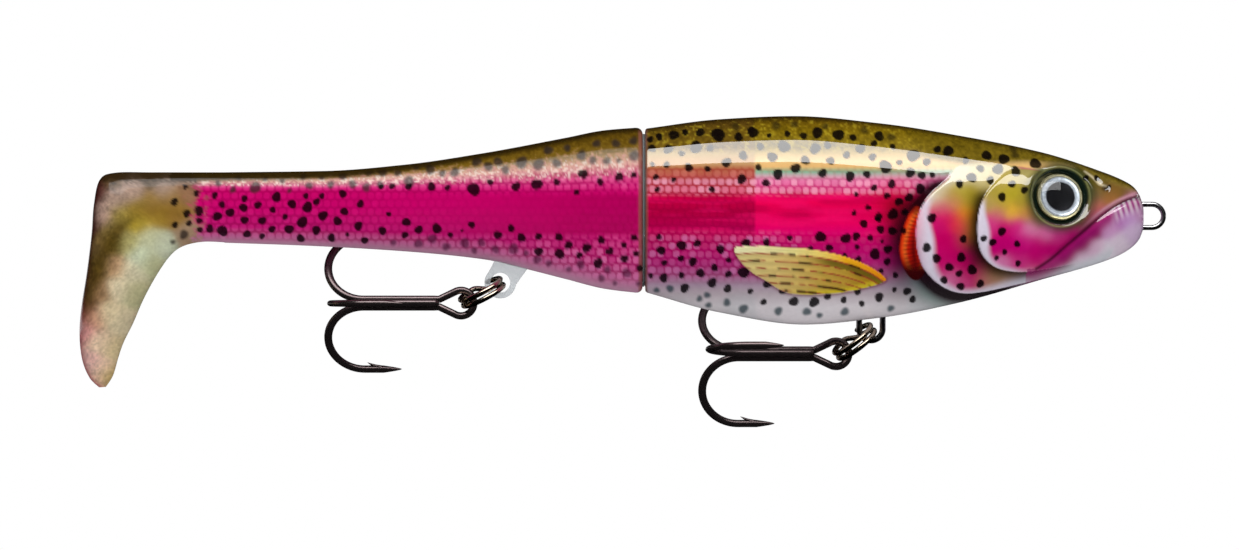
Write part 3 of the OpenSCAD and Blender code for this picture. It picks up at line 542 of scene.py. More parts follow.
def tail_grid(lip_r):
    """The soft tail in one piece: a rounded front edge, the trunk thinning to the wrist, and the
    boot sweeping down to its heel. The front face draws in behind the rim."""
    angle = np.linspace(0, 2 * np.pi, TAIL_COLS, endpoint=False)
    # Front face and lip: how far back each row lies, and how far it is drawn in
    ends = [(0, 4.5), (0, 2.6)]
    ends += [(lip_r * (1 - np.cos(a)), lip_r * (1 - np.sin(a))) for a in np.linspace(0, np.pi / 2, 7)]
    rows = [loop_at(TRUNK_X - back, *trunk_section(TRUNK_X - back), angle, inset) for back, inset in ends]
    x = np.linspace(TRUNK_X - lip_r, WRIST_X, TRUNK_ROWS)[1:-1]
    rows.extend(loop_at(x[:, None], *(part[:, None] for part in trunk_section(x)), angle[None]))
    boot = through(BOOT_ROWS, BOOT_STEPS)
    boot_h = (WRIST_TOP - BOOT_LOW[2]) / BOOT_DEPTH
    c, sn = np.cos(angle), np.sin(angle)
    lift = (1 + np.sign(c) * np.abs(c) ** (2 / FULL_BACK)) / 2
    for r in boot:
        inner = np.array((WRIST_X - r[0] * BOOT_L, WRIST_TOP - r[1] * boot_h))
        outer = np.array((WRIST_X - r[2] * BOOT_L, WRIST_TOP - r[3] * boot_h))
        width = r[4] * BOOT_W / 2 / BOOT_SWELL
        y = width * np.sign(sn) * np.abs(sn) ** (2 / FULL_BACK) * (1 + r[5] * (2 * lift - 1))
        across = inner + (outer - inner) * lift[:, None]
        rows.append(np.stack([across[:, 0], y, across[:, 1]], -1))
    grid = np.stack(rows)
    # The front corner keeps inside the socket's sweep round the pin, so the swing stays free
    reach = np.hypot(grid[..., 0] - PIN_X, grid[..., 1])
    room = np.hypot(socket_wall(grid[..., 2]), SEAM_X - PIN_X) - SWING_ROOM
    shrink = np.where((grid[..., 0] > TRUNK_X - 2.5) & (reach > room), room / np.maximum(reach, 1), 1)
    grid[..., 0] = PIN_X + (grid[..., 0] - PIN_X) * shrink
    grid[..., 1] *= shrink
    return grid


# ---- Paint ----

def over(base, colour, share):
    """A layer of colour over a base, by share."""
    return base + (colour - base) * np.clip(share, 0, 1)[..., None]


def lay(colour, rgb, share):
    """Lay a coat, written in the usual 0 to 255 steps, over a colour in place, by share."""
    colour += (lin(*rgb) - colour) * np.clip(share, 0, 1)[..., None]


def ratio(colours, name):
    """How many times brighter a colour setting is than its default, for each channel."""
    return np.array(getattr(colours, name)) / np.array(colours.bl_rna.properties[name].default_array)


def ramp(stops, v):
    """Colour against a number: (number, r, g, b) stops in rising order with straight blends."""
    at = np.array([s[0] for s in stops], float)
    rgb = np.array([lin(*s[1:]) for s in stops])
    return np.stack([np.interp(v, at, rgb[:, k]) for k in range(3)], -1)


def pools(drops, x, z, reach):
    """Soft colour from drops of airbrushed paint and of painted light and shade: each (x, z, r, g, b)
    drop fades with distance and all are averaged.
    """
    total, weight = np.zeros((*x.shape, 3)), np.zeros(x.shape)
    for d in drops:
        w = np.exp(-((x - d[0]) ** 2 + (z - d[1]) ** 2) / (2 * reach ** 2)) + 1e-9
        total += w[..., None] * lin(*d[2:])
        weight += w
    return total / weight[..., None]


def chance(i, j, seed):
    """A number from 0 to 1 that looks random for each pair of whole numbers."""
    return np.modf(np.abs(np.sin(i * 12.9898 + j * 78.233 + seed * 37.719) * 43758.5453))[0]


def grain(x, z, pitch, seed):
    """Smooth noise from 0 to 1 with features about one pitch across."""
    u, v = x / pitch, z / pitch
    i, j = np.floor(u), np.floor(v)
    fu, fv = u - i, v - j
    fu, fv = fu * fu * (3 - 2 * fu), fv * fv * (3 - 2 * fv)
    low = chance(i, j, seed) * (1 - fu) + chance(i + 1, j, seed) * fu
    high = chance(i, j + 1, seed) * (1 - fu) + chance(i + 1, j + 1, seed) * fu
    return low * (1 - fv) + high * fv


def grit(x, z, small, large, seed):
    """Speckle round zero: noise of a small pitch with some of a larger one."""
    return 0.6 * grain(x, z, small, seed) + 0.4 * grain(x, z, large, seed + 1) - 0.5


def scales(x, z, pitch, seed, slope=0.0):
    """Scale rows laid like bricks: returns how far inside a scale a point lies, from 0 on the
    net between scales to 1, and a shade that differs from scale to scale."""
    v = (z + slope * x) / pitch
    row = np.floor(v)
    u = x / pitch + 0.5 * np.mod(row, 2) + 0.12 * (grain(x, z, 2.1, seed) - 0.5)
    column = np.floor(u)
    du, dv = np.abs(u - column - 0.5), np.abs(v - row - 0.5)
    rim_at = 2 * (du ** 2.6 + dv ** 2.6) ** (1 / 2.6)
    return blend_in(rim_at, 1.0, 0.62), chance(column, row, seed)


def dab_spots(colour, x, z, spots, ink, blur, strength, rng):
    """Dots of ink, each slightly out of round, with a blurred edge."""
    for sx, sz, r in spots:
        a, b = rng.random(2) * 2 * np.pi
        near = (np.abs(x - sx) < 2 * r + 3 * blur) & (np.abs(z - sz) < 2 * r + 3 * blur)
        dx, dz = x[near] - sx, z[near] - sz
        turn = np.arctan2(dz, dx)
        edge = r * (1 + 0.08 * np.sin(2 * turn + a) + 0.06 * np.sin(3 * turn + b))
        colour[near] = over(colour[near], ink, strength * blend_in(np.hypot(dx, dz) - edge, blur, -blur))


# Spots: x, z and radius in millimetres. The groups differ in ink and blur
SPOTS_FLANK = (
    (-94.1, 14.2, 0.62), (-92.4, 14.7, 0.69), (-89.7, 15, 0.95), (-87.6, 15.5, 0.62), (-84.8, 15.5, 0.82),
    (-81.5, 15, 1.28), (-77.7, 14.6, 0.82), (-75, 15.5, 1.05), (-72, 14.9, 0.46), (-68.6, 15.2, 0.59),
    (-65.6, 14.8, 0.69), (-63, 15.4, 1.05), (-59.1, 15, 1.08), (-56.4, 14.5, 0.66), (-51.5, 14.8, 0.92),
    (-52.5, 13.4, 0.62), (-49.1, 12.8, 0.56), (-93.8, 12.5, 0.76), (-90.8, 12.3, 0.89), (-88.3, 11.5, 0.59),
    (-85.6, 12.7, 1.15), (-83, 12.5, 0.69), (-76.9, 11.1, 0.85), (-73.7, 12.8, 0.69), (-69.3, 12.8, 1.15),
    (-71.5, 10.8, 0.95), (-63.5, 12.4, 1.02), (-61.2, 13, 0.69), (-57.7, 11.2, 0.69), (-55.1, 12.4, 0.92),
    (-52.9, 10.8, 0.72), (-50.5, 9, 1.21), (-47.9, 9.8, 0.56), (-93.7, 9.5, 0.46), (-91.1, 9.4, 0.62),
    (-87, 8.9, 0.79), (-83.5, 8.6, 0.59), (-80, 9.8, 0.89), (-65.4, 10.2, 0.85), (-60.7, 10.1, 0.76),
    (-93.1, 7.1, 0.56), (-89.8, 6.6, 0.49), (-92.8, 4.8, 0.53), (-82.7, 4.8, 0.59), (-77.2, 6.7, 0.89),
    (-74.1, 8.9, 0.62), (-72.7, 6, 0.72), (-70.5, 7.6, 0.98), (-67.2, 8.7, 0.92), (-62.2, 7.8, 0.82),
    (-57.1, 7.2, 0.92), (-54, 7.6, 0.72), (-52.7, 5.1, 0.62), (-49.4, 5.8, 0.76), (-56, 3.8, 0.46),
    (-50.3, 3.6, 0.62), (-48.1, 2.5, 0.79), (-56.4, 0.4, 0.49), (-53.8, 1.4, 0.56), (-51.9, -0.3, 0.76),
    (-49.2, 0.2, 1.02), (-54.6, -1.6, 0.76), (-92.5, -4, 0.56), (-92.1, -6.5, 0.82), (-88.3, -5.6, 0.92),
    (-85.4, -5.2, 0.69), (-81.1, -6.3, 0.82), (-76.4, -5.1, 0.82), (-72.6, -5, 0.69), (-68.3, -4.2, 0.53),
    (-62.6, -4, 1.02), (-91.5, -8.8, 0.56), (-88.4, -8, 0.62), (-86.2, -8.6, 0.82), (-82.2, -9.7, 0.69),
    (-79.6, -8.3, 0.53), (-76.8, -10.6, 1.05), (-84.8, -10.7, 0.82), (-88.3, -11.1, 0.59),
    (-79.6, -10.9, 0.66), (-91.6, -11.6, 0.82), (-94, -11.2, 0.49), (-82.6, -12.5, 0.89),
    (-79.7, -13.6, 0.76), (-87.7, -13.5, 0.85), (-75.5, -14.1, 0.53), (-72.4, -12.8, 0.76),
    (-69.5, -14, 0.69), (-73, -16.1, 0.59), (-67.4, -16, 0.89), (-63.6, -16.1, 0.95), (-61.1, -15, 0.69),
    (-58.1, -15.7, 0.62), (-55.6, -14.1, 0.69), (-54.7, -16.4, 0.56), (-51.5, -15.2, 0.85),
    (-48.7, -13.8, 0.49), (-61, -6, 0.69), (-64.5, -6.1, 0.49), (-58.1, -7.5, 0.49), (-55.6, -8.2, 0.62),
    (-57.9, -4.3, 0.95), (-56, -3.9, 0.76), (-53.4, -4.2, 0.59), (-55.8, -5.9, 0.49), (-52.5, -7.2, 1.02),
    (-51.2, -4.8, 0.33), (-51.3, -10.3, 0.49), (-50.2, -8.6, 0.69), (-50.1, -6.3, 0.82),
    (-48.6, -11.1, 0.56), (-51.5, -2.6, 0.76), (-49.3, -2.9, 0.82), (-51.9, -0.8, 0.56), (-38.7, 12, 1.02),
    (-40.7, 12.3, 0.71), (-35.5, 10.2, 0.66), (-31.5, 11.2, 0.93), (-28.3, 10.5, 1.02), (-22.4, 9.7, 1.02),
    (-12.9, 7, 0.57), (-10.8, 7, 0.57), (-8.5, 5.4, 0.4), (-45.3, 11.1, 1.19), (-42.8, 9.9, 0.75),
    (-45.9, 7.9, 0.93), (-43.8, 7.4, 0.75), (-41.8, 7.5, 0.57), (-32.8, 8.7, 0.71), (-34.5, 7, 0.93),
    (-29.5, 8.6, 1.02), (-31, 6.5, 0.75), (-26.2, 8.2, 0.93), (-46.2, 3.3, 0.8), (-44.1, 4.9, 0.93),
    (-47, 0.6, 0.66), (-47.2, -2.9, 0.57), (-46.3, -14.1, 0.75), (-45.2, -15.6, 0.66),
)
SPOTS_SOFT = (
    (-78.2, 16.6, 0.76), (-70.7, 16.8, 0.79), (-67.2, 17, 0.69), (-61.5, 16.6, 0.62), (-54.2, 15.9, 0.69),
    (-49.2, 14.6, 0.76), (-26.1, 11.3, 0.71), (-26.3, 12.4, 0.66),
)
SPOTS_BELLY = (
    (-90.4, -13.6, 0.69), (-83.5, -14.8, 0.59), (-79.8, -16.2, 0.69), (-76.7, -17.4, 0.85),
    (-70.2, -17.8, 0.76), (-64.9, -17.9, 0.76), (-62.5, -18.6, 0.53), (-57.8, -17.9, 0.76),
    (-49.2, -17.3, 0.62), (-84.9, -15.5, 0.56), (-83.2, -16.7, 0.56), (-92.9, -13.9, 0.53),
)
SPOTS_PLATES = (
    (-36.8, 5.8, 0.75), (-42, -0.5, 0.88), (-42.9, -6, 0.84), (-41, -8, 0.84), (-36.1, -4.4, 0.71),
    (-36.4, -7.8, 0.88), (-38.6, -9.6, 0.8), (-36.7, -10.8, 0.66), (-34.3, -10.1, 0.93), (-39.5, -12, 0.71),
    (-36.3, -13.2, 0.75), (-32.6, -12.7, 0.75), (-27, 5.8, 0.71), (-24.7, 4.7, 0.66), (-28.9, 3.4, 0.8),
    (-28.9, -3, 0.8), (-32.3, -4.3, 0.62), (-30.6, -5, 0.71), (-26, -5.3, 0.62), (-28.3, -6.8, 0.53),
    (-29.8, -7.9, 0.48), (-25.7, -8.9, 0.57),
)
SPOTS_TAIL = (
    (-142.3, 5.5, 0.58), (-144.3, 5.4, 0.51), (-139.2, 5.4, 0.65), (-134.9, 5.4, 0.78), (-131.9, 5.2, 0.55),
    (-127, 4.9, 1.19), (-123.9, 6.2, 0.58), (-119.1, 5.4, 0.85), (-115.2, 5.8, 1.05), (-111.5, 6.2, 0.61),
    (-106.6, 7.7, 0.88), (-103.4, 6.2, 0.65), (-107.8, 4.3, 0.55), (-99.9, 7.1, 0.82), (-97.2, 7.5, 0.58),
    (-142.9, 0.3, 0.48), (-139.6, -1.2, 0.82), (-144.1, -2.8, 0.78), (-139.9, -3.6, 0.65),
    (-137.3, -2.6, 0.78), (-133.9, -2.4, 0.92), (-131.4, -3.6, 0.51), (-127.4, -1.7, 0.65),
    (-129.2, -2.8, 0.28), (-120, -2.4, 0.68), (-122.5, -3.6, 0.78), (-118.1, -4.1, 0.82),
    (-114.9, -3.9, 0.65), (-114.9, -6.7, 0.82), (-111.1, -4, 0.75), (-111, -7.1, 0.92),
    (-109.3, -5.5, 0.78), (-107.3, -7.4, 0.61), (-105.9, -6, 0.88), (-103.2, -4.6, 0.72),
    (-103.8, -8.9, 0.92), (-101.7, -6.7, 0.75), (-99, -5.5, 0.58), (-98.9, -8, 0.75), (-97.1, -4.2, 0.65),
    (-96.7, -7.1, 0.58), (-96.1, -9.8, 0.65), (-183, 2.6, 0.72), (-180.7, 0.4, 0.72), (-180.3, -1.4, 0.56),
    (-182.9, -1.7, 0.6), (-178.9, 4.2, 0.6), (-181.1, 5.4, 0.52), (-178.4, 0.9, 0.92), (-178.4, -0.9, 0.6),
    (-178.3, -2.6, 0.56), (-175.5, 3.8, 0.64), (-174.1, 2.1, 0.64), (-175, -0.1, 0.88),
    (-176.4, -2.4, 0.76), (-174.1, -2.8, 1), (-172.6, 0.6, 0.84), (-169.9, 3.2, 0.64), (-170.1, 1.5, 0.8),
    (-169.9, -0.8, 0.76), (-169.5, -3.4, 0.72), (-167.4, 2, 0.72), (-166.6, -0.9, 0.76),
    (-166.7, -3.8, 0.56), (-164.6, 1.1, 0.6), (-164.8, -2.5, 0.68), (-163.9, 3.5, 0.92), (-161, 2.2, 0.84),
    (-162.3, -0.2, 0.56), (-161.6, -2.5, 0.88), (-159.5, -4.2, 0.76), (-159.1, -1.2, 1.04),
    (-158.4, 3.7, 0.56), (-158.1, 1.6, 1), (-156.4, 2.6, 0.68), (-155.4, 3.7, 0.56), (-155.2, 0, 0.92),
    (-156.5, -2.7, 0.84), (-153.7, -4.1, 0.76), (-152.5, -1, 0.84), (-151.5, 4.1, 0.76),
    (-151.2, 0.8, 0.76), (-150.7, -3.5, 0.4), (-148.6, -1.9, 0.84), (-148.2, 2.2, 0.72),
    (-147.5, -4.6, 0.68),
)
SPOTS_TAIL_SOFT = (
    (-144.1, 8.1, 0.78), (-141.3, 8, 0.65), (-137.8, 9, 0.51), (-135.2, 8.7, 0.92), (-132.9, 7.9, 0.65),
    (-130.6, 8.1, 0.85), (-126.5, 10.1, 0.92), (-122.5, 10.1, 0.85), (-124.3, 9.2, 0.85),
    (-113.1, 12.2, 0.85), (-109.6, 12.6, 0.65), (-118.1, 9.9, 1.12), (-114.9, 9.5, 1.05),
    (-121.1, 8.5, 0.78), (-111.5, 9.7, 0.85), (-106.9, 11.2, 0.92), (-104.8, 10.3, 0.72),
    (-102.2, 10.1, 0.72), (-100, 10.2, 0.45), (-104.1, 13.4, 0.72), (-100.5, 13.4, 0.78),
    (-97.2, 13.9, 0.78), (-97.1, 11.1, 0.99), (-139.1, 6.4, 0.99), (-144.5, 5.8, 0.65),
    (-181.3, -3.5, 0.84), (-183.4, -4.9, 0.44), (-167.9, 5.3, 1.04), (-147.1, 5.3, 0.76),
    (-161.5, 4.7, 0.4), (-172.1, 4.9, 0.6), (-171.1, 7.1, 0.52), (-174.9, 6.1, 0.6), (-162.9, 6.5, 0.52),
    (-159, 7.4, 0.64), (-157.8, 5.6, 0.68), (-153.8, 5.8, 0.68), (-151.6, 7.4, 0.72), (-149.7, 5.9, 0.76),
    (-146.7, 8, 0.6), (-166.1, 6.9, 0.44), (-155.5, 7.1, 0.44),
)
SPOTS_TAIL_LOW = (
    (-134.8, -4.3, 0.85), (-128.7, -5.1, 0.88), (-125.6, -5, 0.72), (-142.1, -5, 0.55),
    (-137.4, -5.2, 0.78), (-132.2, -5.8, 0.72), (-127, -6.5, 0.58), (-123, -6.3, 0.72),
    (-119.6, -6.2, 0.95), (-117.3, -7, 0.51), (-115.2, -8.2, 0.78), (-113, -8.9, 0.58),
    (-107.1, -9.1, 0.78), (-109.3, -10, 0.51), (-102.1, -10.1, 0.65), (-98.5, -10.7, 0.85),
    (-103.2, -11.7, 0.65), (-100.7, -12.6, 0.45), (-96.3, -12.7, 0.45),
)
# Height at which the tones of the flank give way to the lower ones, the front edge of the darker
# print on the head's rear third, and the stretch over which the boot's paint takes over
LOW_EDGE = -3.6
REAR_PRINT_X = -75
BOOT_PAINT = (-177, -180.5)
# Colours of the head by height: the flank, its rear third, and the part below that edge
BACK_TONES = ((-3.6, 232, 0, 112), (-1.5, 244, 2, 96), (1, 226, 0, 78), (2.4, 246, 2, 84), (3.6, 236, 8, 96),
              (4.6, 224, 20, 120), (6.4, 232, 96, 160), (7.3, 206, 170, 178), (8.1, 128, 184, 148),
              (9, 236, 186, 116), (10, 240, 196, 130), (11.4, 190, 160, 90), (12.6, 136, 114, 30),
              (15.6, 126, 102, 14), (17.4, 112, 86, 12), (18.6, 66, 46, 10), (20, 50, 34, 8))
REAR_TONES = ((-3.6, 196, 4, 92), (-1.5, 190, 0, 76), (1, 184, 0, 62), (3, 204, 0, 66), (5, 206, 10, 76),
              (6.2, 192, 56, 82), (7.4, 186, 84, 68), (8.6, 176, 98, 56), (9.6, 206, 160, 110),
              (11.4, 180, 150, 92), (12.6, 112, 86, 24), (15.6, 104, 80, 18), (17.4, 92, 66, 18),
              (18.6, 66, 46, 14), (20, 50, 34, 8))
LOW_TONES = ((-17, 246, 238, 240), (-14.6, 208, 192, 198), (-12.8, 186, 156, 178), (-11, 184, 96, 148),
             (-9, 192, 34, 124), (-7, 200, 8, 112), (-5, 210, 2, 106), (-3.6, 226, 0, 102))
# Drops of airbrushed colour, among them some painted light and shade: x and z in millimetres, and the colour
# Painted highlight: the pale pink drops at (-23.5, -2.5) and (-20.8, -3.2), a streak under the eye
CHEEK_DROPS = (
    (-2.8, 4.4, 210, 150, 150), (-3.9, 2.6, 150, 60, 110), (-2.8, 0.8, 200, 150, 190),
    (-3.9, -3.2, 225, 195, 225), (-6.6, -5.4, 235, 215, 230), (-11, -6.3, 230, 190, 215),
    (-13.2, -8.1, 235, 205, 225), (-8.8, -7.2, 240, 232, 240), (-6.6, -0.5, 185, 110, 180),
    (-5, -0.5, 205, 160, 210), (-8.4, -2.3, 215, 160, 205), (-9.7, -0.5, 160, 20, 110),
    (-11.9, -2.7, 150, 10, 95), (-13.7, -5.4, 150, 5, 90), (-16.4, -7.6, 170, 10, 105),
    (-19, -8.9, 190, 20, 115), (-11.9, -0.1, 190, 90, 110), (-11, 1.7, 190, 110, 90),
    (-8.4, 3.5, 170, 110, 60), (-6.6, 4.8, 130, 95, 40), (-4.8, 5.3, 120, 90, 50), (-8.8, 4.8, 110, 90, 40),
    (-11, 3.9, 120, 100, 60), (-11, 6.6, 110, 92, 24), (-13.2, 8.4, 110, 92, 20),
    (-16.4, 10.2, 112, 94, 20), (-19.9, 10.6, 112, 94, 20), (-22.6, 11, 112, 94, 20),
    (-24.3, 10.2, 120, 100, 24), (-27, 7.5, 190, 170, 90), (-28.8, 6.6, 190, 168, 80),
    (-24.3, 7.5, 180, 165, 100), (-23.5, 5.3, 150, 135, 60), (-27, 4.4, 188, 168, 44),
    (-25.2, 2.6, 170, 150, 50), (-28.8, 2.2, 196, 170, 50), (-30.1, 3.5, 180, 160, 60),
    (-31, 2.2, 190, 160, 90), (-29.7, 0.4, 214, 120, 110), (-26.8, 0.6, 235, 180, 60),
    (-24.3, 0.4, 200, 140, 70), (-22.6, -1, 150, 110, 70), (-30.6, -1.4, 225, 60, 140),
    (-28.8, -2.3, 212, 8, 110), (-26.1, -1.8, 220, 30, 130), (-23.5, -2.5, 232, 130, 180),
    (-20.8, -3.2, 225, 110, 165), (-18.1, -3.6, 205, 60, 135), (-15.5, -3.2, 185, 20, 110),
    (-13.2, -1, 140, 60, 70), (-28.8, -5.4, 205, 0, 115), (-26.1, -6.3, 208, 0, 118),
    (-24.3, -4.5, 215, 20, 130), (-22.1, -5.4, 206, 5, 115), (-19.9, -6.3, 198, 0, 110),
    (-22.6, -8.1, 205, 0, 112), (-26.1, -8.5, 215, 40, 130), (-27.9, -9.4, 225, 130, 180),
    (-24.3, -9.6, 220, 60, 140), (-21.7, -8.9, 212, 20, 120), (-17.2, -5.4, 195, 5, 108),
    (-19.9, -9.8, 205, 90, 140), (-18.1, -10.7, 232, 200, 222), (-22.6, -11.2, 215, 160, 170),
    (-14.6, -9.4, 238, 225, 235),
)
# Painted shadow: the dark drops by the front plate's rear edge, near x -33.5
# Partly cream paint and partly a painted reflection: the pale drops along the plate's top
PLATE_DROPS = (
    (-39.9, 7, 225, 215, 190), (-36.8, 7.5, 220, 205, 170), (-33.2, 7, 215, 200, 150),
    (-31.5, 5.7, 200, 180, 110), (-36.8, 4.4, 186, 166, 60), (-39, 3.5, 190, 160, 80),
    (-34.1, 4.4, 170, 148, 40), (-40.8, 3.9, 225, 215, 180), (-35.5, 2.2, 170, 150, 40),
    (-33.2, 2.6, 120, 100, 30), (-37.7, 2.2, 210, 130, 90), (-39.9, 1.7, 220, 90, 120),
    (-35.9, 0.4, 236, 140, 30), (-37.2, -1, 232, 50, 70), (-39, -0.5, 220, 15, 95),
    (-40.8, -1.8, 216, 20, 110), (-35, -1.4, 190, 130, 30), (-33.7, -1, 90, 70, 20),
    (-36.3, -2.3, 225, 40, 80), (-39.9, -4.5, 212, 0, 100), (-37.7, -5.4, 208, 0, 98),
    (-35.9, -4.9, 180, 60, 60), (-34.6, -3.6, 150, 110, 30), (-33.7, -5.4, 50, 20, 20),
    (-34.6, -6.7, 130, 10, 60), (-40.3, -7.2, 214, 10, 110), (-37.7, -7.6, 205, 0, 102),
    (-35.9, -8.1, 195, 0, 95), (-33.7, -8.5, 110, 10, 50), (-32.3, -9.8, 150, 50, 70),
    (-38.6, -9.8, 212, 20, 115), (-35.9, -10.7, 198, 0, 98), (-33.7, -11.2, 196, 10, 100),
    (-31.9, -11.6, 190, 120, 110), (-30.1, -10.9, 160, 120, 70), (-27.9, -11.2, 180, 140, 90),
    (-26.1, -11.2, 200, 160, 140), (-35.9, -12.5, 215, 80, 140), (-38.1, -11.8, 225, 120, 170),
    (-29.7, -12.5, 200, 150, 130), (-27, -12.5, 225, 190, 190), (-24.3, -11.8, 225, 185, 195),
)


def paint_flank(x, z, top, speck, sizes, colours):
    """Coats of the head's flank: the back and the band with its streaks, the scale rows, the
    pearl belly, the dust along the back, and painted shade along the top edge."""
    cell, shade = scales(x, z, millimetres(sizes, "scale_pitch"), SEED, 0.012)
    mottle, streaks = grain(x, z, 5.5, 5), grain(x, z * 9, 7.5, 6)
    # Back and flank: the rear third is a darker print with a clear front edge
    rear_third = blend_in(x, REAR_PRINT_X + 0.5, REAR_PRINT_X)
    z_tone = np.where(z > 10.5, z + 0.55 * (16.6 - np.minimum(top, 16.6)) * blend_in(z, 10.5, 12.5), z)
    upper = over(ramp(BACK_TONES, z_tone), ramp(REAR_TONES, z_tone), rear_third)
    colour = np.where((z > LOW_EDGE)[..., None], upper, ramp(LOW_TONES, z))
    lay(colour, (196, 4, 92), rear_third * blend_in(z, -7, -4.6) * (z <= LOW_EDGE) * 0.7)
    # The band at its own colour, with long streaks
    band = blend_in(z, 5, 4) * blend_in(z, -6, -3)
    colour = over(colour, colour * ratio(colours, "band"), band)
    lay(colour, (190, 0, 66), 0.5 * band * blend_in(streaks, 0.52, 0.75) * blend_in(z, -1.5, 0))
    lay(colour, (255, 20, 110), 0.35 * band * blend_in(streaks, 0.45, 0.2))
    # Scale rows above the band, printed pale on a rosy net
    upper = blend_in(z, 3.3, 4.3) * blend_in(z, 9.4, 8.2)
    lay(colour, (170, 60, 60), upper * (1 - cell) * (0.25 + 0.4 * rear_third))
    lay(colour, (252, 178, 200), upper * cell * (0.2 + 0.5 * shade) * blend_in(z, 7.4, 6.4))
    lay(colour, (224, 132, 126), upper * cell * rear_third * (0.1 + 0.35 * shade) * blend_in(z, 6.2, 7))
    # Scale rows below the band, fading out towards the gill
    lower = blend_in(z, -2.4, -4.4) * blend_in(z, -13.4, -10.4) * (0.12 + 0.88 * blend_in(x, -63, -70))
    colour = over(colour, np.array(colours.net), lower * (1 - cell) * 0.5)
    lay(colour, (222, 128, 186), lower * cell * (0.1 + 0.6 * shade ** 1.5))
    lay(colour, (150, 0, 56), rear_third * band * (1 - cell) * 0.35)
    # Pearl belly with a cold blush near its edge
    colour = over(colour, colour * ratio(colours, "belly"), blend_in(z, -10, -14))
    lay(colour, (120, 160, 160), 0.16 * blend_in(z, -13, -15.5) * blend_in(mottle, 0.4, 0.8))
    # Gold dust along the back
    dust = blend_in(z, 11, 12.8)
    colour = over(colour, ratio(colours, "back") * colour, dust)
    colour *= (1 + dust * 1.1 * speck + 0.1 * (mottle - 0.5))[..., None]
    lay(colour, (176, 156, 40), 0.5 * dust * blend_in(speck, 0.12, 0.3))
    # Painted shade: the flank darkens to deep olive along its top edge in the side view
    lay(colour, (56, 40, 10), 0.85 * blend_in(top - z, 1.3, 0.1) * blend_in(z, 4, 8))
    return colour


def paint_gill(colour, x, z, rear, gill, colours):
    """Coats behind the rear plate: a red glow, the airbrushed shadow and the gill's edge."""
    shadow_ink = np.array(colours.shadow)
    glow = bell(x + 48.5, 3.5) * bell(z - 1, 5.5)
    lay(colour, (206, 10, 20), 0.55 * glow * (rear < 0))
    away = -np.minimum(rear, 0)
    under = blend_in(z, -9, -12.5)
    dark = bell(away, 2.2 + 1.8 * blend_in(z, 6, 0) - 2.2 * under * blend_in(x, -44, -28))
    dark *= blend_in(z, 8, 5.5) * blend_in(x, -20, -30) * (rear < 0)
    green = over(np.broadcast_to(shadow_ink, colour.shape), lin(60, 116, 100),
                 under * blend_in(away, 1.5, 3.4))
    colour = over(colour, green, np.clip(1.15 * dark, 0, 0.97))
    pit = bell(x + 47.4, 3.3) * bell(z + 4.6, 8.6)
    colour = over(colour, shadow_ink, 0.9 * pit * (rear < 0) * blend_in(z, 5, 2.5))
    # The gill's red edge with its fine dark rays
    turn = np.arctan2(z + 4.8, x + 33)
    rays = 0.5 + 0.5 * np.cos(turn * 110)
    flame = ramp(((0, 150, 14, 8), (0.45, 236, 60, 20), (1, 250, 112, 40), (1.6, 222, 34, 16),
                  (2.5, 120, 12, 12), (3.4, 60, 6, 8)), gill) * ratio(colours, "gill")
    lay(flame, (90, 6, 8), 0.6 * rays * blend_in(gill, 0.3, 1.2))
    lay(flame, (60, 6, 10), blend_in(z, -7, -10.6) + 0.7 * blend_in(z, -0.6, 1))
    colour = over(colour, flame, blend_in(gill, -0.12, 0.16) * (rear < 0))
    return colour


def paint_plates(colour, x, z, rear, front, colours):
    """Coats of the two gill plates with their pale rims and painted shadow, and of the cheek."""
    rim_white = np.array(colours.plate_rim)
    # Rear plate
    plate = pools(PLATE_DROPS, x, z, 1.15)
    rim_wide = 0.4 + 3.0 * bell(z + 5, 6)
    rim_show = blend_in(z, 4.6, 1.6) * blend_in(rear, rim_wide + 0.6, rim_wide - 0.8)
    plate = over(plate, rim_white, 0.97 * rim_show)
    # Painted shadow that the front plate's rear edge casts on the rear plate
    front_plate_shadow = bell(np.minimum(front, 0), 1.7) * (front < 0)
    lay(plate, (30, 16, 10), 0.9 * front_plate_shadow * blend_in(z, 6.2, 3))
    colour = over(colour, plate, blend_in(rear, -0.1, 0.14) * blend_in(x, -48, -42))
    # Front plate, cheek and snout
    cheek = pools(CHEEK_DROPS, x, z, 1.05)
    rim_wide = 0.3 + 2.1 * bell(z + 3.4, 4.4)
    rim_show = blend_in(z, 3.8, 1.4) * blend_in(front, rim_wide + 0.5, rim_wide - 0.7) * blend_in(x, -22, -27)
    cheek = over(cheek, rim_white, 0.97 * rim_show)
    colour = over(colour, cheek, blend_in(front, -0.1, 0.14))
    colour = over(colour, cheek, blend_in(x, -17, -14) * (front > -9))
    return colour


def paint_snout(colour, x, z, top, rear, speck):
    """Coats of the pale throat and of the olive that runs ahead of the plates to the nose."""
    snout_line = np.interp(x, (-46, -36, -24, -14, -9, -2), (11.2, 9.6, 10, 9.4, 6.8, 4.2))
    ahead = blend_in(x, -47, -41) * blend_in(z, snout_line - 0.9, snout_line + 0.7)
    chin = np.interp(x, (-44, -34, -24, -14, -6, -2), (-17.5, -15, -11.8, -8.4, -5.4, -3.2))
    throat = blend_in(z - chin, 0.8, -1.4) * blend_in(x, -44, -36) * (0.6 + 0.4 * blend_in(x, -30, -18))
    lay(colour, (226, 226, 232), throat * (rear > 0.8 * blend_in(x, -24, -30)))
    olive = ramp(((0, 150, 130, 60), (1.2, 118, 98, 24), (5, 108, 88, 14), (8, 84, 64, 12)),
                 np.clip(z - snout_line + 0.6, 0, 8)) * (1 + 0.9 * speck)[..., None]
    colour = over(colour, olive, ahead)
    # Painted shade: the olive darkens along the top edge ahead of the plates
    lay(colour, (46, 34, 12), 0.7 * ahead * blend_in(top - z, 1.1, 0.1))
    return colour


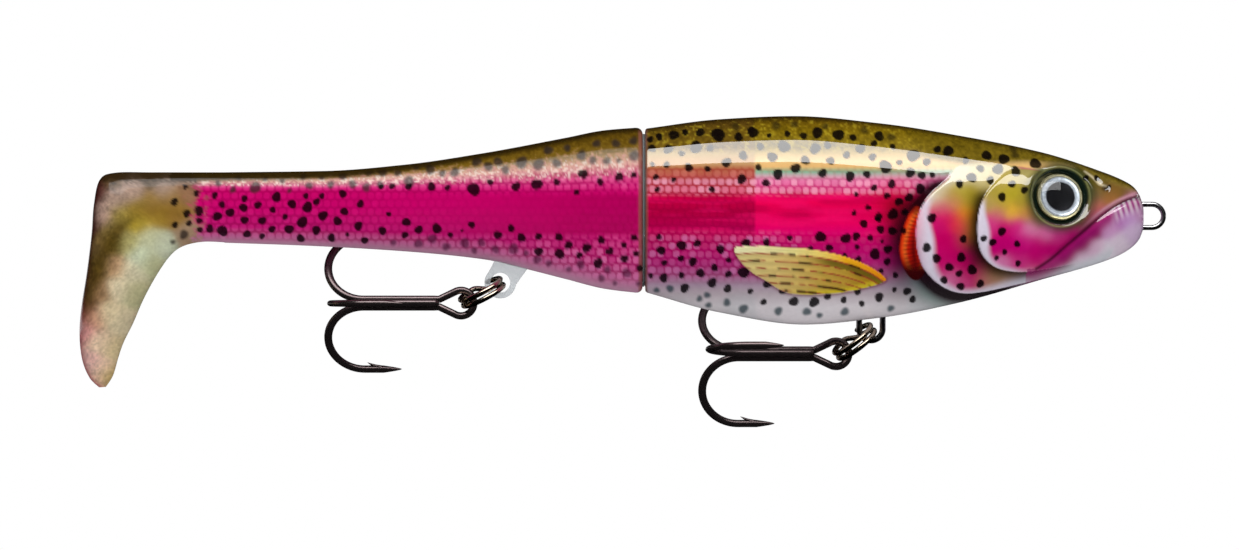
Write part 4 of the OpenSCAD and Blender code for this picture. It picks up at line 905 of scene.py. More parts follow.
def paint_mouth(colour, x, z):
    """Coats of the mouth, the jaw's tip and the nostril, with painted highlights on the lip and brow."""
    # Mouth: a dark line between the lip and the pale jaw, with lines down the jaw's tip
    near, share = line_distance(MOUTH, x, z)
    above = z > np.interp(x, MOUTH[:, 0], MOUTH[:, 1])
    lay(colour, (160, 20, 108), 0.7 * (1 - above) * bell(near - 1.1, 2.3 - 1.6 * share) * (x > -24))
    # Painted highlight along the swollen lip above the mouth's line
    lay(colour, (236, 170, 190), 0.7 * above * bell(near - 0.7, 0.35) * blend_in(share, 0.35, 0.7))
    lay(colour, (70, 10, 40), bell(near, 0.32) * 0.85 * (x > -24))
    tip = blend_in(x, -8.6, -6.4)
    teeth = (0.5 + 0.5 * np.cos((x + 0.3 * z) * 5.6)) * tip * blend_in(near, 4, 1.6) * (1 - above)
    lay(colour, (150, 60, 140), 0.35 * teeth)
    lay(colour, (252, 246, 250), 0.5 * (1 - teeth) * tip * blend_in(near, 3.4, 1.4) * (1 - above))
    # Nostril, and a painted highlight along the brow ridge that leads back to the eye
    brow_highlight, _ = line_distance(((-13, 8.2), (-11.6, 7.2), (-10.4, 5.9), (-8.6, 5.3)), x, z)
    lay(colour, (236, 220, 180), 0.75 * bell(brow_highlight, 0.24))
    nostril = np.hypot((x + 9) / 1.4, z - 5)
    lay(colour, (30, 20, 14), bell(nostril, 0.45))
    return colour


def fin_web(x, z, fin, colours):
    """Colour of the pectoral fin: pale rays along its length between thin broken lines, with the
    top ray orange ahead."""
    ray = fin_ray(x, z)
    count = np.floor(ray)
    which = ray - count
    web = ramp(((-78, 244, 240, 186), (-68, 240, 226, 146), (-62, 246, 214, 104), (-58, 252, 184, 34),
                (-51, 244, 150, 20)), x)
    lower_web = ramp(((-78, 232, 214, 140), (-70, 230, 200, 120), (-62, 214, 176, 76),
                      (-54, 190, 146, 36)), x)
    lay(lower_web, (232, 206, 50), blend_in(fin, 1.4, 0.2) * blend_in(x, -69, -63))
    lay(lower_web, (112, 96, 26), (count == 1) * blend_in(x, -66, -60) * 0.85)
    web = np.where((count >= 1)[..., None], lower_web, web) * ratio(colours, "fin")
    line = bell(np.minimum(which, 1 - which), 0.13) * (ray > 0.5)
    dash = blend_in(grain(x, np.round(ray) * 7.0, 1.1, 9), 0.2, 0.36)
    lay(web, (160, 24, 44), 0.9 * line * dash)
    thick = bell(np.minimum(which, 1 - which), 0.19) * (ray > 0.5)
    dark = blend_in(grain(x, np.round(ray) * 5.0, 1.3, 14), 0.66, 0.76)
    web = over(web, np.array(colours.ink), 0.95 * thick * dark)
    return web


def paint_head(x, z, side, sizes, colours):
    """Colour of the head at x and z, laid as coats, with the spots last."""
    rng = np.random.default_rng(SEED + (side > 0))
    ink = np.array(colours.ink)
    top = head_section(x)[0]
    speck = grit(x, z, 0.34, 0.8, 3)
    rear, front, gill, fin = inside_edges(x, z)
    colour = paint_flank(x, z, top, speck, sizes, colours)
    colour = paint_gill(colour, x, z, rear, gill, colours)
    colour = paint_plates(colour, x, z, rear, front, colours)
    colour = paint_snout(colour, x, z, top, rear, speck)
    colour = paint_mouth(colour, x, z)
    # Painted shade: the head's rear rim and socket darken to brown at the seam
    lay(colour, (126, 84, 70), 0.85 * blend_in(x, SEAM_X + 0.5, SEAM_X + 0.2))
    # The eye's socket ring
    eye = np.hypot(x - EYE[0], z - EYE[2])
    lay(colour, (52, 64, 36), 0.85 * blend_in(eye, 7.6, 5.6))
    lay(colour, (150, 150, 96), 0.6 * bell(eye - 5.6, 0.16))
    lay(colour, (20, 32, 24), blend_in(eye, 5.5, 5))
    web = fin_web(x, z, fin, colours)
    lay(colour, (120, 10, 50), 0.6 * bell(np.minimum(fin, 0), 0.4) * (fin < 0))
    flat = over(colour, web, blend_in(fin, -0.1, 0.12))
    dab_spots(colour, x, z, SPOTS_SOFT, lin(50, 40, 14), 0.4, 0.8, rng)
    dab_spots(colour, x, z, SPOTS_FLANK, ink, 0.13, 0.96, rng)
    dab_spots(colour, x, z, SPOTS_PLATES, ink, 0.13, 0.97, rng)
    dab_spots(colour, x, z, SPOTS_BELLY, np.array(colours.belly_ink), 0.32, 0.85, rng)
    colour = over(colour, flat, blend_in(fin, -0.1, 0.12))
    return np.clip(colour, 0, 1)


# Colours of the tail's back by the height over the band's upper edge; the pale stops at 2.1
# and 3 are a painted highlight
TAIL_BACK = ((-0.4, 196, 0, 96), (0.6, 206, 20, 112), (1.3, 216, 70, 132), (2.1, 208, 132, 140),
             (3, 206, 152, 134), (3.8, 160, 122, 76), (4.5, 120, 92, 24), (6, 92, 68, 12), (8, 60, 44, 10))
# Painted sheen: the mauve-grey drops from (-184.9, 5.3) down to (-196.5, 0.1), where the trunk's highlight
# runs on
BOOT_DROPS = (
    (-180.5, 4.5, 150, 110, 80), (-183.7, 3.3, 150, 115, 60), (-182.9, 0.1, 150, 112, 50),
    (-180.5, -3.5, 170, 140, 110), (-186.9, 2.5, 150, 118, 62), (-186.1, -0.3, 168, 135, 48),
    (-189.7, 1.3, 140, 115, 45), (-189.3, -1.1, 175, 150, 50), (-192.9, 0.1, 150, 130, 60),
    (-190.9, 4.5, 168, 141, 124), (-194.1, 2.9, 162, 136, 120), (-196.5, 0.1, 170, 140, 125),
    (-184.9, 5.3, 176, 150, 134), (-194.9, 7.1, 84, 64, 38), (-186.9, 7.1, 84, 66, 40),
    (-178.9, 6.9, 90, 66, 44), (-197.7, 4.5, 90, 50, 45), (-198.3, -1.5, 80, 42, 40),
    (-196.9, -5.5, 120, 95, 55), (-194.9, -2.7, 120, 100, 50), (-194.1, -5.5, 96, 78, 22),
    (-196.1, -9.5, 96, 76, 34), (-198.1, -11.9, 110, 80, 45), (-198.5, -16.7, 104, 72, 44),
    (-196.5, -14.3, 150, 115, 80), (-193.7, -9.5, 190, 150, 110), (-191.3, -5.5, 170, 160, 100),
    (-187.3, -4.3, 190, 190, 150), (-185.3, -5.5, 200, 205, 175), (-189.3, -7.5, 205, 215, 185),
    (-190.9, -10.3, 215, 205, 170), (-187.7, -8.7, 185, 185, 140), (-192.9, -13.5, 215, 200, 165),
    (-190.5, -14.3, 190, 185, 140), (-194.9, -18.3, 216, 198, 158), (-197.3, -19.1, 200, 150, 120),
    (-192.9, -19.9, 216, 200, 162), (-199.3, -21.5, 205, 140, 135), (-196.5, -23.5, 212, 185, 155),
    (-194.1, -24.7, 205, 185, 140), (-198.5, -27.5, 218, 170, 160), (-196.5, -28.7, 216, 185, 158),
    (-195.3, -30.3, 190, 165, 90), (-197.7, -31.1, 205, 165, 145), (-199.9, -18.3, 150, 80, 70),
)


def paint_boot(x, z, speckle, colours):
    """Coats of the boot: airbrushed olive, gold and cream with a painted sheen among them, a dark
    stripe down it, a reddish rear edge, and painted shade along the top edge with gold below it."""
    boot = pools(BOOT_DROPS, x, z, 1.25) * ratio(colours, "boot")
    edge = through(BOOT_ROWS, 4)[12:]
    back_x, back_z = WRIST_X - edge[:, 2] * BOOT_L, WRIST_TOP - edge[:, 3] * (WRIST_TOP - BOOT_LOW[2])
    from_back = np.maximum(x - np.interp(z, back_z[::-1], back_x[::-1]), 0)
    coarse = np.interp(from_back + np.maximum(-z - 12, 0) * 0.25, (0, 5, 12), (1.1, 0.8, 0.3))
    stripe_x = np.interp(z, (-26, -17, -8, -3, 1), (-202, -199.4, -196.2, -193.6, -190))
    down = blend_in(z, -22, -14) * blend_in(z, 1.5, -2.5)
    lay(boot, (74, 56, 12), 0.75 * bell(x - stripe_x, 1.9) * down)
    boot = boot * ((1 + coarse * speckle) * (1 + 0.25 * blend_in(z, -20, -25)))[..., None]
    lay(boot, (66, 24, 20), 0.95 * bell(from_back, 0.9) * blend_in(z, -20, -12))
    lay(boot, (188, 84, 96), 0.7 * bell(from_back, 0.8) * blend_in(z, -14, -20))
    # Painted shade along the boot's top edge, carrying on that of the trunk
    lay(boot, (50, 35, 16), 0.95 * blend_in(WRIST_TOP - z + 1.2 * speckle, 2.8, 1.0))
    lay(boot, (132, 98, 32), 0.65 * bell(x + 186, 4.6) * bell(z - 0.9, 1.7))
    return boot


def paint_tail(x, z, sizes, colours):
    """Colour of the soft tail: olive back, a grained pale band that is a painted highlight, scale
    rows over magenta, a solid band at the front that the rows close over, a pale lower edge,
    painted shade on the rounded front edge, and the boot's airbrushed olive, gold and cream with
    a painted sheen; spots, and then painted shade along the top edge, last."""
    rng = np.random.default_rng(SEED + 5)
    top, bottom, _ = trunk_section(np.maximum(x, WRIST_X))
    share = np.clip((SEAM_X - x) / (SEAM_X - WRIST_X), 0, 1)
    line = np.interp(share, (0, 0.35, 0.7, 1), (4.8, 4.6, 4.6, 4.8))
    reach = np.interp(share, (0, 0.4, 0.75, 1), (1.75, 1.1, 0.62, 0.5))
    t = (z - line) / reach
    speckle = grit(x, z, 0.3, 0.7, 21)
    colour = ramp(TAIL_BACK, t + 2.4 * speckle * blend_in(t, 0.8, 2.4))
    cell, shade = scales(x, z, millimetres(sizes, "scale_pitch"), SEED + 3)
    low = (z - bottom) / (line - bottom)
    lower = ramp(((0, 196, 150, 172), (0.14, 206, 108, 160), (0.3, 206, 20, 122), (0.6, 206, 0, 108),
                  (1, 196, 0, 96)), low)
    lower *= ratio(colours, "tail_band")
    colour = np.where((t < -0.4)[..., None], lower, colour)
    solid = blend_in(z, 4.4, 3.4) * blend_in(z, -4.2, -3) * blend_in(share, 0.85, 0.15)
    lines = (1 - 0.9 * solid) * blend_in(low, 0.02, 0.2) * blend_in(t, 3, 1.6)
    lay(colour, (168, 0, 84), lines * (1 - cell) * 0.65)
    rows = np.interp(z, (-14, -11, -7, -4, 3, 5.5, 7), (0.3, 0.6, 0.6, 0.35, 0.2, 0.4, 0.3))
    rows = rows * np.interp(share, (0, 0.5, 1), (1, 0.55, 0.7))
    cells = ramp(((-7, 246, 132, 190), (-2, 244, 50, 150), (4.5, 242, 30, 140), (6, 246, 120, 180)), z)
    colour = over(colour, cells, lines * cell * rows * (0.25 + shade))
    solid_tone = ramp(((0, 166, 0, 78), (0.35, 196, 0, 96), (0.8, 206, 0, 104)), share)
    colour = over(colour, solid_tone, 0.85 * solid * (1 - 0.25 * cell))
    # Painted highlight: a grained pale band along the trunk, where the soft box's sheen lies
    pale = blend_in(t, 1.1, 2) * blend_in(t, 4.4, 3.2)
    lay(colour, (248, 226, 216), 0.6 * pale * blend_in(speckle, 0.03, 0.22))
    lay(colour, (150, 84, 60), 0.5 * pale * blend_in(speckle, -0.08, -0.26))
    # Painted shade: the rounded front edge darkens to brown at the seam
    lay(colour, (150, 88, 76), 0.8 * blend_in(x, TRUNK_X - 1, TRUNK_X - 0.5))
    boot = paint_boot(x, z, speckle, colours)
    ragged = x + 2.8 * (grain(x, z, 1.1, 4) - 0.5) + 3 * speckle
    colour = over(colour, boot, blend_in(ragged, *BOOT_PAINT))
    dab_spots(colour, x, z, SPOTS_TAIL_SOFT, lin(44, 36, 34), 0.36, 0.85, rng)
    dab_spots(colour, x, z, SPOTS_TAIL_LOW, lin(70, 24, 56), 0.34, 0.72, rng)
    dab_spots(colour, x, z, SPOTS_TAIL, np.array(colours.ink), 0.15, 0.95, rng)
    # Painted shade along the trunk's top edge
    lay(colour, (40, 28, 8), 0.92 * blend_in(top - z, 1.5 + 0.6 * share, 0.15 + 0.95 * share) * (x > -184))
    return np.clip(colour, 0, 1)


def tint(mesh, rgb):
    """Store a colour for each point of a mesh. Points beyond the grid take the last colour."""
    count = len(mesh.vertices)
    flat = rgb.reshape(-1, 3)
    full = np.ones((count, 4), np.float32)
    full[:, :3] = flat[-1]
    full[:len(flat), :3] = flat
    if count == len(flat) + 2:
        full[-2, :3] = rgb[0].mean(0)
    mesh.attributes.new("paint", "FLOAT_COLOR", "POINT").data.foreach_set("color", full.ravel())


# ---- Finishes ----

def new_node(tree, kind, inputs=None, **fields):
    """Add a shader node to a tree, with some of its fields and inputs set."""
    made = tree.nodes.new("ShaderNode" + kind)
    for field, value in fields.items():
        setattr(made, field, value)
    for socket, value in (inputs or {}).items():
        made.inputs[socket].default_value = value
    return made


def join(tree, *ends):
    """Link sockets. Each end is (node, output, node, input)."""
    for source, output, target, socket in ends:
        tree.links.new(source.outputs[output], target.inputs[socket])


def finish(name, tune, base=(0.2, 0.2, 0.2), wear=(0.0, 120.0), paint=False, bumps=()):
    """A node finish. tune sets sockets of the shader by name. The base colour is the stored paint
    or one colour, made lighter and darker by noise read at the object's own coordinates; wear is
    that noise's strength and scale. Each bump is (noise scale, distance, strength)."""
    mat = bpy.data.materials.new(name)
    mat.use_nodes = True
    tree = mat.node_tree
    shader = tree.nodes["Principled BSDF"]
    for socket, value in tune.items():
        shader.inputs[socket].default_value = value
    place = new_node(tree, "TexCoord")
    if paint:
        source = new_node(tree, "Attribute", attribute_name="paint")
    else:
        source = new_node(tree, "RGB")
        source.outputs["Color"].default_value = (*base, 1)
    noise = new_node(tree, "TexNoise", {"Scale": wear[1], "Detail": 4})
    spread = new_node(tree, "MapRange", {"From Min": 0.3, "From Max": 0.7, "To Min": 1 - wear[0],
                                         "To Max": 1 + wear[0]})
    shade = new_node(tree, "Mix", {"Factor": 1}, data_type="RGBA", blend_type="MULTIPLY")
    join(tree, (place, "Object", noise, "Vector"), (noise, "Fac", spread, "Value"),
         (source, "Color", shade, "A"), (spread, "Result", shade, "B"),
         (shade, "Result", shader, "Base Color"))
    layers = []
    for scale, distance, strength in bumps:
        bumpy = new_node(tree, "TexNoise", {"Scale": scale})
        bump = new_node(tree, "Bump", {"Strength": strength, "Distance": distance})
        join(tree, (place, "Object", bumpy, "Vector"), (bumpy, "Fac", bump, "Height"))
        layers.append(bump)
    for under, above in zip(layers, [*layers[1:], shader]):
        join(tree, (under, "Normal", above, "Normal"))
    return mat


def lacquer():
    """Paint under a thick, glass-smooth clear coat."""
    return finish("lacquered_paint", {"Roughness": 0.5, "Specular IOR Level": 0.0, "Coat Weight": 1.0,
                                      "Coat IOR": 1.8, "Coat Roughness": 0.015},
                  wear=(0.035, 900.0), paint=True, bumps=((260.0, 0.00012, 0.05),))


def soft_coat():
    """Paint on soft plastic: a thin, slightly rippled and satin coat that light enters a little."""
    return finish("soft_tail_paint", {"Roughness": 0.45, "Specular IOR Level": 0.0, "Coat Weight": 0.45,
                                      "Coat IOR": 1.5, "Coat Roughness": 0.13, "Subsurface Weight": 0.04,
                                      "Subsurface Radius": (0.0016, 0.0007, 0.0008)},
                  wear=(0.05, 700.0), paint=True, bumps=((900.0, 0.0001, 0.22), (190.0, 0.0003, 0.1)))


def gunmetal(base):
    """Black nickel plate, a little uneven from the dip."""
    return finish("black_nickel", {"Metallic": 0.92, "Roughness": 0.27}, base, (0.12, 500.0),
                  bumps=((1400.0, 0.00003, 0.25),))


def nickel(base):
    """Warm bright nickel on the rings' spring wire."""
    return finish("nickel_plate", {"Metallic": 1.0, "Roughness": 0.2}, base, (0.14, 420.0),
                  bumps=((1200.0, 0.00003, 0.2),))


def bright_wire(base):
    """Drawn stainless wire."""
    return finish("drawn_stainless", {"Metallic": 1.0, "Roughness": 0.3}, base, (0.05, 600.0))


def stamped(base):
    """Stamped steel sheet."""
    return finish("stamped_steel", {"Metallic": 1.0, "Roughness": 0.35}, base, (0.06, 300.0))


def cast_lead(base):
    """Dull lead with the pits of its mould."""
    return finish("cast_lead", {"Metallic": 0.6, "Roughness": 0.6}, base, (0.15, 250.0),
                  bumps=((700.0, 0.00008, 0.3),))


def clear_moulding(base):
    """Clear hard plastic as it leaves the mould."""
    return finish("clear_polycarbonate", {"Transmission Weight": 0.7, "Roughness": 0.16, "IOR": 1.46},
                  base, (0.03, 150.0))


def struck_foil():
    """Printed foil that shines through its colour."""
    return finish("struck_foil", {"Metallic": 0.75, "Roughness": 0.24}, wear=(0.06, 800.0), paint=True)


def clear_epoxy():
    """The clear resin of the eye's dome."""
    return finish("clear_epoxy", {"Transmission Weight": 1.0, "Roughness": 0.01, "IOR": 1.42},
                  lin(250, 252, 255), (0.01, 90.0))


def dress(material, *names):
    """Give CAD nodes a finish."""
    for name in names:
        mesh = bpy.data.objects[name].data
        mesh.materials.clear()
        mesh.materials.append(material)


# ---- Eyes ----

def lathe(profile, sides):
    """Grid of a profile of (radius, height) points turned round the height axis. The first and
    last points lie at a small radius and are closed by fans."""
    p = np.array(profile, float)
    a = 2 * np.pi * np.arange(sides) / sides
    height = np.broadcast_to(p[:, 1:], (len(p), sides))
    return np.stack([p[:, :1] * np.cos(a), p[:, :1] * np.sin(a), height], -1)


def at_eye(grid, side):
    """Carry a grid from the eye's own axes to its place on one side of the head."""
    across = np.cross((0, 0, 1), EYE_OUT)
    across /= np.linalg.norm(across)
    up = np.cross(EYE_OUT, across)
    placed = EYE + grid[..., :1] * across + grid[..., 1:2] * up + grid[..., 2:] * EYE_OUT
    placed[..., 1] *= side
    return placed if side > 0 else placed[:, ::-1]


def foil_profile(pupil):
    """Half section of the foil disc: flat under the pupil and pressed hollow, as half a sine wave,
    between the pupil and the rim."""
    r = np.concatenate([np.linspace(0.05, pupil, 14), np.linspace(pupil + 0.06, EYE_R, 26)])
    hollow = 0.12 * np.sin(np.clip((r - pupil) / (EYE_R - pupil), 0, 1) * np.pi)
    front = np.stack([r, EYE_SEAT + FOIL_T - hollow], 1)
    return np.vstack([((0.05, EYE_SEAT), (EYE_R, EYE_SEAT)), front[::-1]])


def dome_profile(rise):
    """Half section of the clear dome, whose height falls from the middle as a circle's arc does.
    Its base lies just inside the foil."""
    ball = (EYE_R ** 2 + rise ** 2) / (2 * rise)
    radius = EYE_R * np.sin(np.linspace(np.pi / 2, 0, 26)[:-1])
    base = EYE_SEAT + FOIL_T - 0.2
    arc = np.stack([radius, base + 0.2 + np.sqrt(ball ** 2 - radius ** 2) - (ball - rise)], 1)
    return np.vstack([((0.05, base), (EYE_R - 0.05, base)), arc, ((0.05, base + 0.2 + rise),)])


def print_foil(radius, turn, pupil, black, silver):
    """Colour of the eye's foil by radius: pupil, silver ring with fine radial brush marks that
    come from noise along the angle, a cream line and a dull edge."""
    stops = ((pupil - 0.1, *black), (pupil + 0.02, *(2.5 * black)), (pupil + 0.2, *(0.55 * silver)),
             (3.2, *silver), (3.55, *(1.2 * silver)), (3.85, *lin(196, 188, 150)), (4.1, *lin(240, 232, 196)),
             (4.32, *lin(120, 112, 70)))
    at = np.array(stops)
    rgb = np.stack([np.interp(radius, at[:, 0], at[:, k]) for k in (1, 2, 3)], -1)
    brushed = 1 + 0.25 * (grain(turn * 14, radius * 0.4, 1.0, 31) - 0.5) * (radius > pupil + 0.1)
    return np.clip(rgb * brushed[..., None], 0, 1)


def build_eyes(sizes, colours):
    """Foil eyes under clear domes, turned about their own axes and set into the head's seats."""
    pupil = millimetres(sizes, "pupil_width") / 2
    black, silver = np.array(colours.pupil), np.array(colours.foil)
    foil, clear = struck_foil(), clear_epoxy()
    grid = lathe(foil_profile(pupil), 96)
    across, up = grid[..., 0], grid[..., 1]
    rgb = print_foil(np.hypot(across, up), np.arctan2(up, across), pupil, black, silver)
    dome = lathe(dome_profile(millimetres(sizes, "dome_rise")), 96)
    for side, end in ((-1, "right"), (1, "left")):
        mesh = grid_mesh("foil_" + end, at_eye(grid, side))
        tint(mesh, rgb if side > 0 else rgb[:, ::-1])
        piece("foil_" + end, mesh, foil, "head", "eye_disc_" + end)
        piece("lens_" + end, grid_mesh("lens_" + end, at_eye(dome, side)), clear, "head", "eye_dome_" + end)


# ---- Head and tail ----

def build_head(sizes, colours):
    """The head's two shells with their moulded features, painted and lacquered."""
    coat = lacquer()
    for side, node in ((-1, "head_shell_right"), (1, "head_shell_left")):
        grid = head_grid(side, sizes)
        mesh = grid_mesh("skin_" + node, grid)
        tint(mesh, paint_head(grid[..., 0], grid[..., 2], side, sizes, colours))
        piece("skin_" + node, mesh, coat, "head", node)


def build_tail(sizes, colours):
    """The soft tail's one skin over the trunk, the wrist and the boot."""
    grid = tail_grid(millimetres(sizes, "tail_lip"))
    mesh = grid_mesh("skin_tail", grid)
    tint(mesh, paint_tail(grid[..., 0], grid[..., 2], sizes, colours))
    skin = piece("skin_tail", mesh, soft_coat(), None, "tail_trunk", "tail_boot")
    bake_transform(skin)


# ---- Rings and hooks ----

COIL_R = 4.2
COIL_PITCH = 1.25
# Where a coil starts, how far it winds, and where its cross-over starts and how long it is, in
# degrees round the ring
COIL_START, COIL_TURN, CROSS_START, CROSS_TURN = 110, 680, 320, 40
RING_WIRE = 1.0
RING_SLACK = 0.3
RING_ROLL = np.radians(10)
HOOK_WIRE = 1.4
# Length of a hook and of the third one, radius of the bend, and length of the point and of its
# ground tip
HOOK_L, THIRD_L, BEND_R, POINT_L, TIP_L = 18.3, 17.1, 6.8, 6.9, 3.45
HOOK_EYE_R = 2.4
NECK = np.radians(30)
# How far a barb stands off the point, how far back it reaches, and how deep its foot sinks in
BARB_RISE, BARB_L, BARB_FOOT = 1.45, 3.0, 0.2
# Points along the ring's wire, the ground tip, the point, the bend, the shank and the hook's eye
RING_STEPS, TIP_STEPS, POINT_STEPS, BEND_STEPS, SHANK_STEPS, LOOP_STEPS = 220, 22, 8, 44, 16, 60
SHANK_HALF = 0.72
TILT = {"front": np.radians(38), "rear": np.radians(27.5)}
HOOK_ROLL = {"front": np.radians(-7), "rear": 0.0}
AXES = np.eye(3)


def build_ring(end, metal):
    """A split ring: two coils of wire side by side, joined by a short cross-over. The coil's
    height rises by one pitch over the cross-over in a smooth step, and its ends are rounded."""
    tilt = TILT[end]
    turned = np.linspace(0, COIL_TURN, RING_STEPS)
    a = np.radians(COIL_START + turned)
    rise = COIL_PITCH * (blend_in(turned, CROSS_START, CROSS_START + CROSS_TURN) - 0.5)
    radius = np.full(len(a), RING_WIRE / 2)
    radius[[0, -1]] *= 0.55
    radius[[1, -2]] *= 0.85
    along = np.array((np.cos(tilt), 0, np.sin(tilt)))
    upright = np.array((-np.sin(tilt), 0, np.cos(tilt)))
    across = np.cos(RING_ROLL) * AXES[1] + np.sin(RING_ROLL) * upright
    square = np.cos(RING_ROLL) * upright - np.sin(RING_ROLL) * AXES[1]
    centre = joint_place(end + "_ring_swing") - (COIL_R - RING_SLACK) * along
    coil = np.stack([COIL_R * np.cos(a), COIL_R * np.sin(a), rise], 1)
    path = centre + coil @ np.stack([along, across, square])
    wire(end + "_split_ring", metal, end + "_ring", swept(path, radius, 18, square))


def arm(start, out, reach=HOOK_L):
    """Middle line, radius and squeeze of one hook from its point to its shank: a ground point
    that swells as a power of its length, a half circle for the bend, pressed flatter in its
    middle, and a straight shank."""
    x = AXES[0]
    base = np.array((0, *start))
    side = np.array((0, *out))
    tip = np.linspace(0, 1, TIP_STEPS)
    point = base + 2 * BEND_R * side + (POINT_L - reach) * x
    spear = point - TIP_L * tip[:, None] * x
    lower = point - (TIP_L + (POINT_L - TIP_L) * np.linspace(0, 1, POINT_STEPS)[1:, None]) * x
    a = np.linspace(0, np.pi, BEND_STEPS)[1:]
    bend = base - reach * x + BEND_R * ((1 + np.cos(a))[:, None] * side - np.sin(a)[:, None] * x)
    neck = -HOOK_EYE_R * np.sin(NECK) - (HOOK_EYE_R * np.cos(NECK) - SHANK_HALF) / np.tan(NECK)
    shank = base + (-reach + (reach + neck - 0.5) * np.linspace(0, 1, SHANK_STEPS)[1:, None]) * x
    path = np.vstack([spear, lower, bend, shank])
    radius = np.full(len(path), HOOK_WIRE / 2)
    radius[:TIP_STEPS] *= 0.05 + 0.95 * tip ** 0.7
    squeeze = np.ones(len(path))
    bent = len(spear) + len(lower)
    squeeze[bent:bent + len(a)] = 1 - 0.16 * np.sin(a)
    return path, radius, squeeze


def barb_grid(start, out, reach=HOOK_L):
    """A barb: a spike raised from the point's inner side, lying back along it."""
    x = AXES[0]
    base = np.array((0, *start))
    side = np.array((0, *out))
    foot = base + (2 * BEND_R - BARB_FOOT) * side + (POINT_L - TIP_L - reach - BARB_FOOT) * x
    end = base + (2 * BEND_R - BARB_RISE) * side + (POINT_L - TIP_L - reach - BARB_L) * x
    t = np.linspace(0, 1, 8)
    path = foot + (end - foot) * t[:, None] + 0.12 * np.sin(t * np.pi)[:, None] * side
    return swept(path, 0.5 * (1 - t) ** 0.8 + 0.03, 12, np.cross(side, x))


def rolled(grid, roll, spot):
    """Turn a grid about the shank and carry it to the hook's eye."""
    c, s = np.cos(roll), np.sin(roll)
    y, z = grid[..., 1] * c - grid[..., 2] * s, grid[..., 1] * s + grid[..., 2] * c
    return np.stack([grid[..., 0], y, z], -1) + spot


def build_hook(end, metal):
    """A treble: two hooks bent from one wire round the eye, and a third laid along their shanks.
    The wire follows a path of straights, half circles and the eye's arc."""
    spot, roll = joint_place(end + "_hook_swing"), HOOK_ROLL[end]
    c, s = np.cos(np.pi / 3), np.sin(np.pi / 3)
    up, up_r, up_squeeze = arm((0, SHANK_HALF), (c, s))
    down, down_r, down_squeeze = arm((0, -SHANK_HALF), (c, -s))
    a = np.linspace(np.pi / 2 + NECK, -np.pi / 2 - NECK, LOOP_STEPS)
    loop = HOOK_EYE_R * np.stack([np.cos(a), np.zeros(LOOP_STEPS), np.sin(a)], 1)
    path = np.vstack([up, loop, down[::-1]])
    radius = np.concatenate([up_r, np.full(LOOP_STEPS, HOOK_WIRE / 2), down_r[::-1]])
    squeeze = np.concatenate([up_squeeze, np.ones(LOOP_STEPS), down_squeeze[::-1]])
    grids = [swept(path, radius, 20, (0, -s, c), squeeze), barb_grid((0, SHANK_HALF), (c, s)),
             barb_grid((0, -SHANK_HALF), (c, -s))]
    wire(end + "_hook_pair", metal, end + "_hook", *(rolled(g, roll, spot) for g in grids))
    start = (-np.sqrt(3) * SHANK_HALF, 0)
    path, radius, squeeze = arm(start, (-1, 0), THIRD_L)
    radius[-1] *= 0.5
    grids = [swept(path, radius, 20, (0, 0, 1), squeeze), barb_grid(start, (-1, 0), THIRD_L)]
    wire(end + "_hook_third", metal, end + "_hook", *(rolled(g, roll, spot) for g in grids))


# ---- Stage ----

# Height and half width of the table and place of the camera, in metres, and the lens in millimetres
TABLE_Z = -0.079
TABLE_HALF = 3
CAMERA = (-0.09983, -0.968, -0.01107)
LENS = 150


def area(name, spot, aim, size, power):
    """A rectangular white lamp at a spot, aimed at a point."""
    light = bpy.data.lights.new(name, "AREA")
    light.shape = "RECTANGLE"
    light.size, light.size_y = size
    light.energy = power
    obj = bpy.data.objects.new(name, light)
    obj.location = spot
    obj.rotation_euler = (Vector(aim) - Vector(spot)).to_track_quat("-Z", "Y").to_euler()
    bpy.context.scene.collection.objects.link(obj)
    return obj


def floor():
    """A plain pale table below the lure. It keeps the lure's shadow near it, and for the camera it
    runs out into the white of the room: a round fade of the distance from its middle."""
    mesh = bpy.data.meshes.new("table")
    corners = [(x * TABLE_HALF, y * TABLE_HALF, TABLE_Z) for x, y in ((-1, -1), (1, -1), (1, 1), (-1, 1))]
    mesh.from_pydata(corners, [], [(0, 1, 2, 3)])
    cloth = finish("table", {"Roughness": 0.8}, lin(236, 236, 238), (0.01, 20.0))
    tree = cloth.node_tree
    spot = new_node(tree, "TexCoord")
    middle = new_node(tree, "Mapping", {"Location": (0.1, 0.02, -TABLE_Z)})
    reach = new_node(tree, "VectorMath", operation="LENGTH")
    fade = new_node(tree, "MapRange", {"From Min": 0.05, "From Max": 0.23, "To Min": 0.25, "To Max": 1.0},
                    interpolation_type="SMOOTHSTEP")
    path = new_node(tree, "LightPath")
    seen = new_node(tree, "Math", operation="MULTIPLY")
    white = new_node(tree, "Emission")
    mix = new_node(tree, "MixShader")
    join(tree, (spot, "Object", middle, "Vector"), (middle, "Vector", reach, 0),
         (reach, "Value", fade, "Value"), (fade, "Result", seen, 0), (path, "Is Camera Ray", seen, 1),
         (seen, "Value", mix, "Fac"),
         (tree.nodes["Principled BSDF"], "BSDF", mix, 1), (white, "Emission", mix, 2),
         (mix, "Shader", tree.nodes["Material Output"], "Surface"))
    mesh.materials.append(cloth)
    obj = bpy.data.objects.new("table", mesh)
    obj.visible_glossy = False
    bpy.context.scene.collection.objects.link(obj)


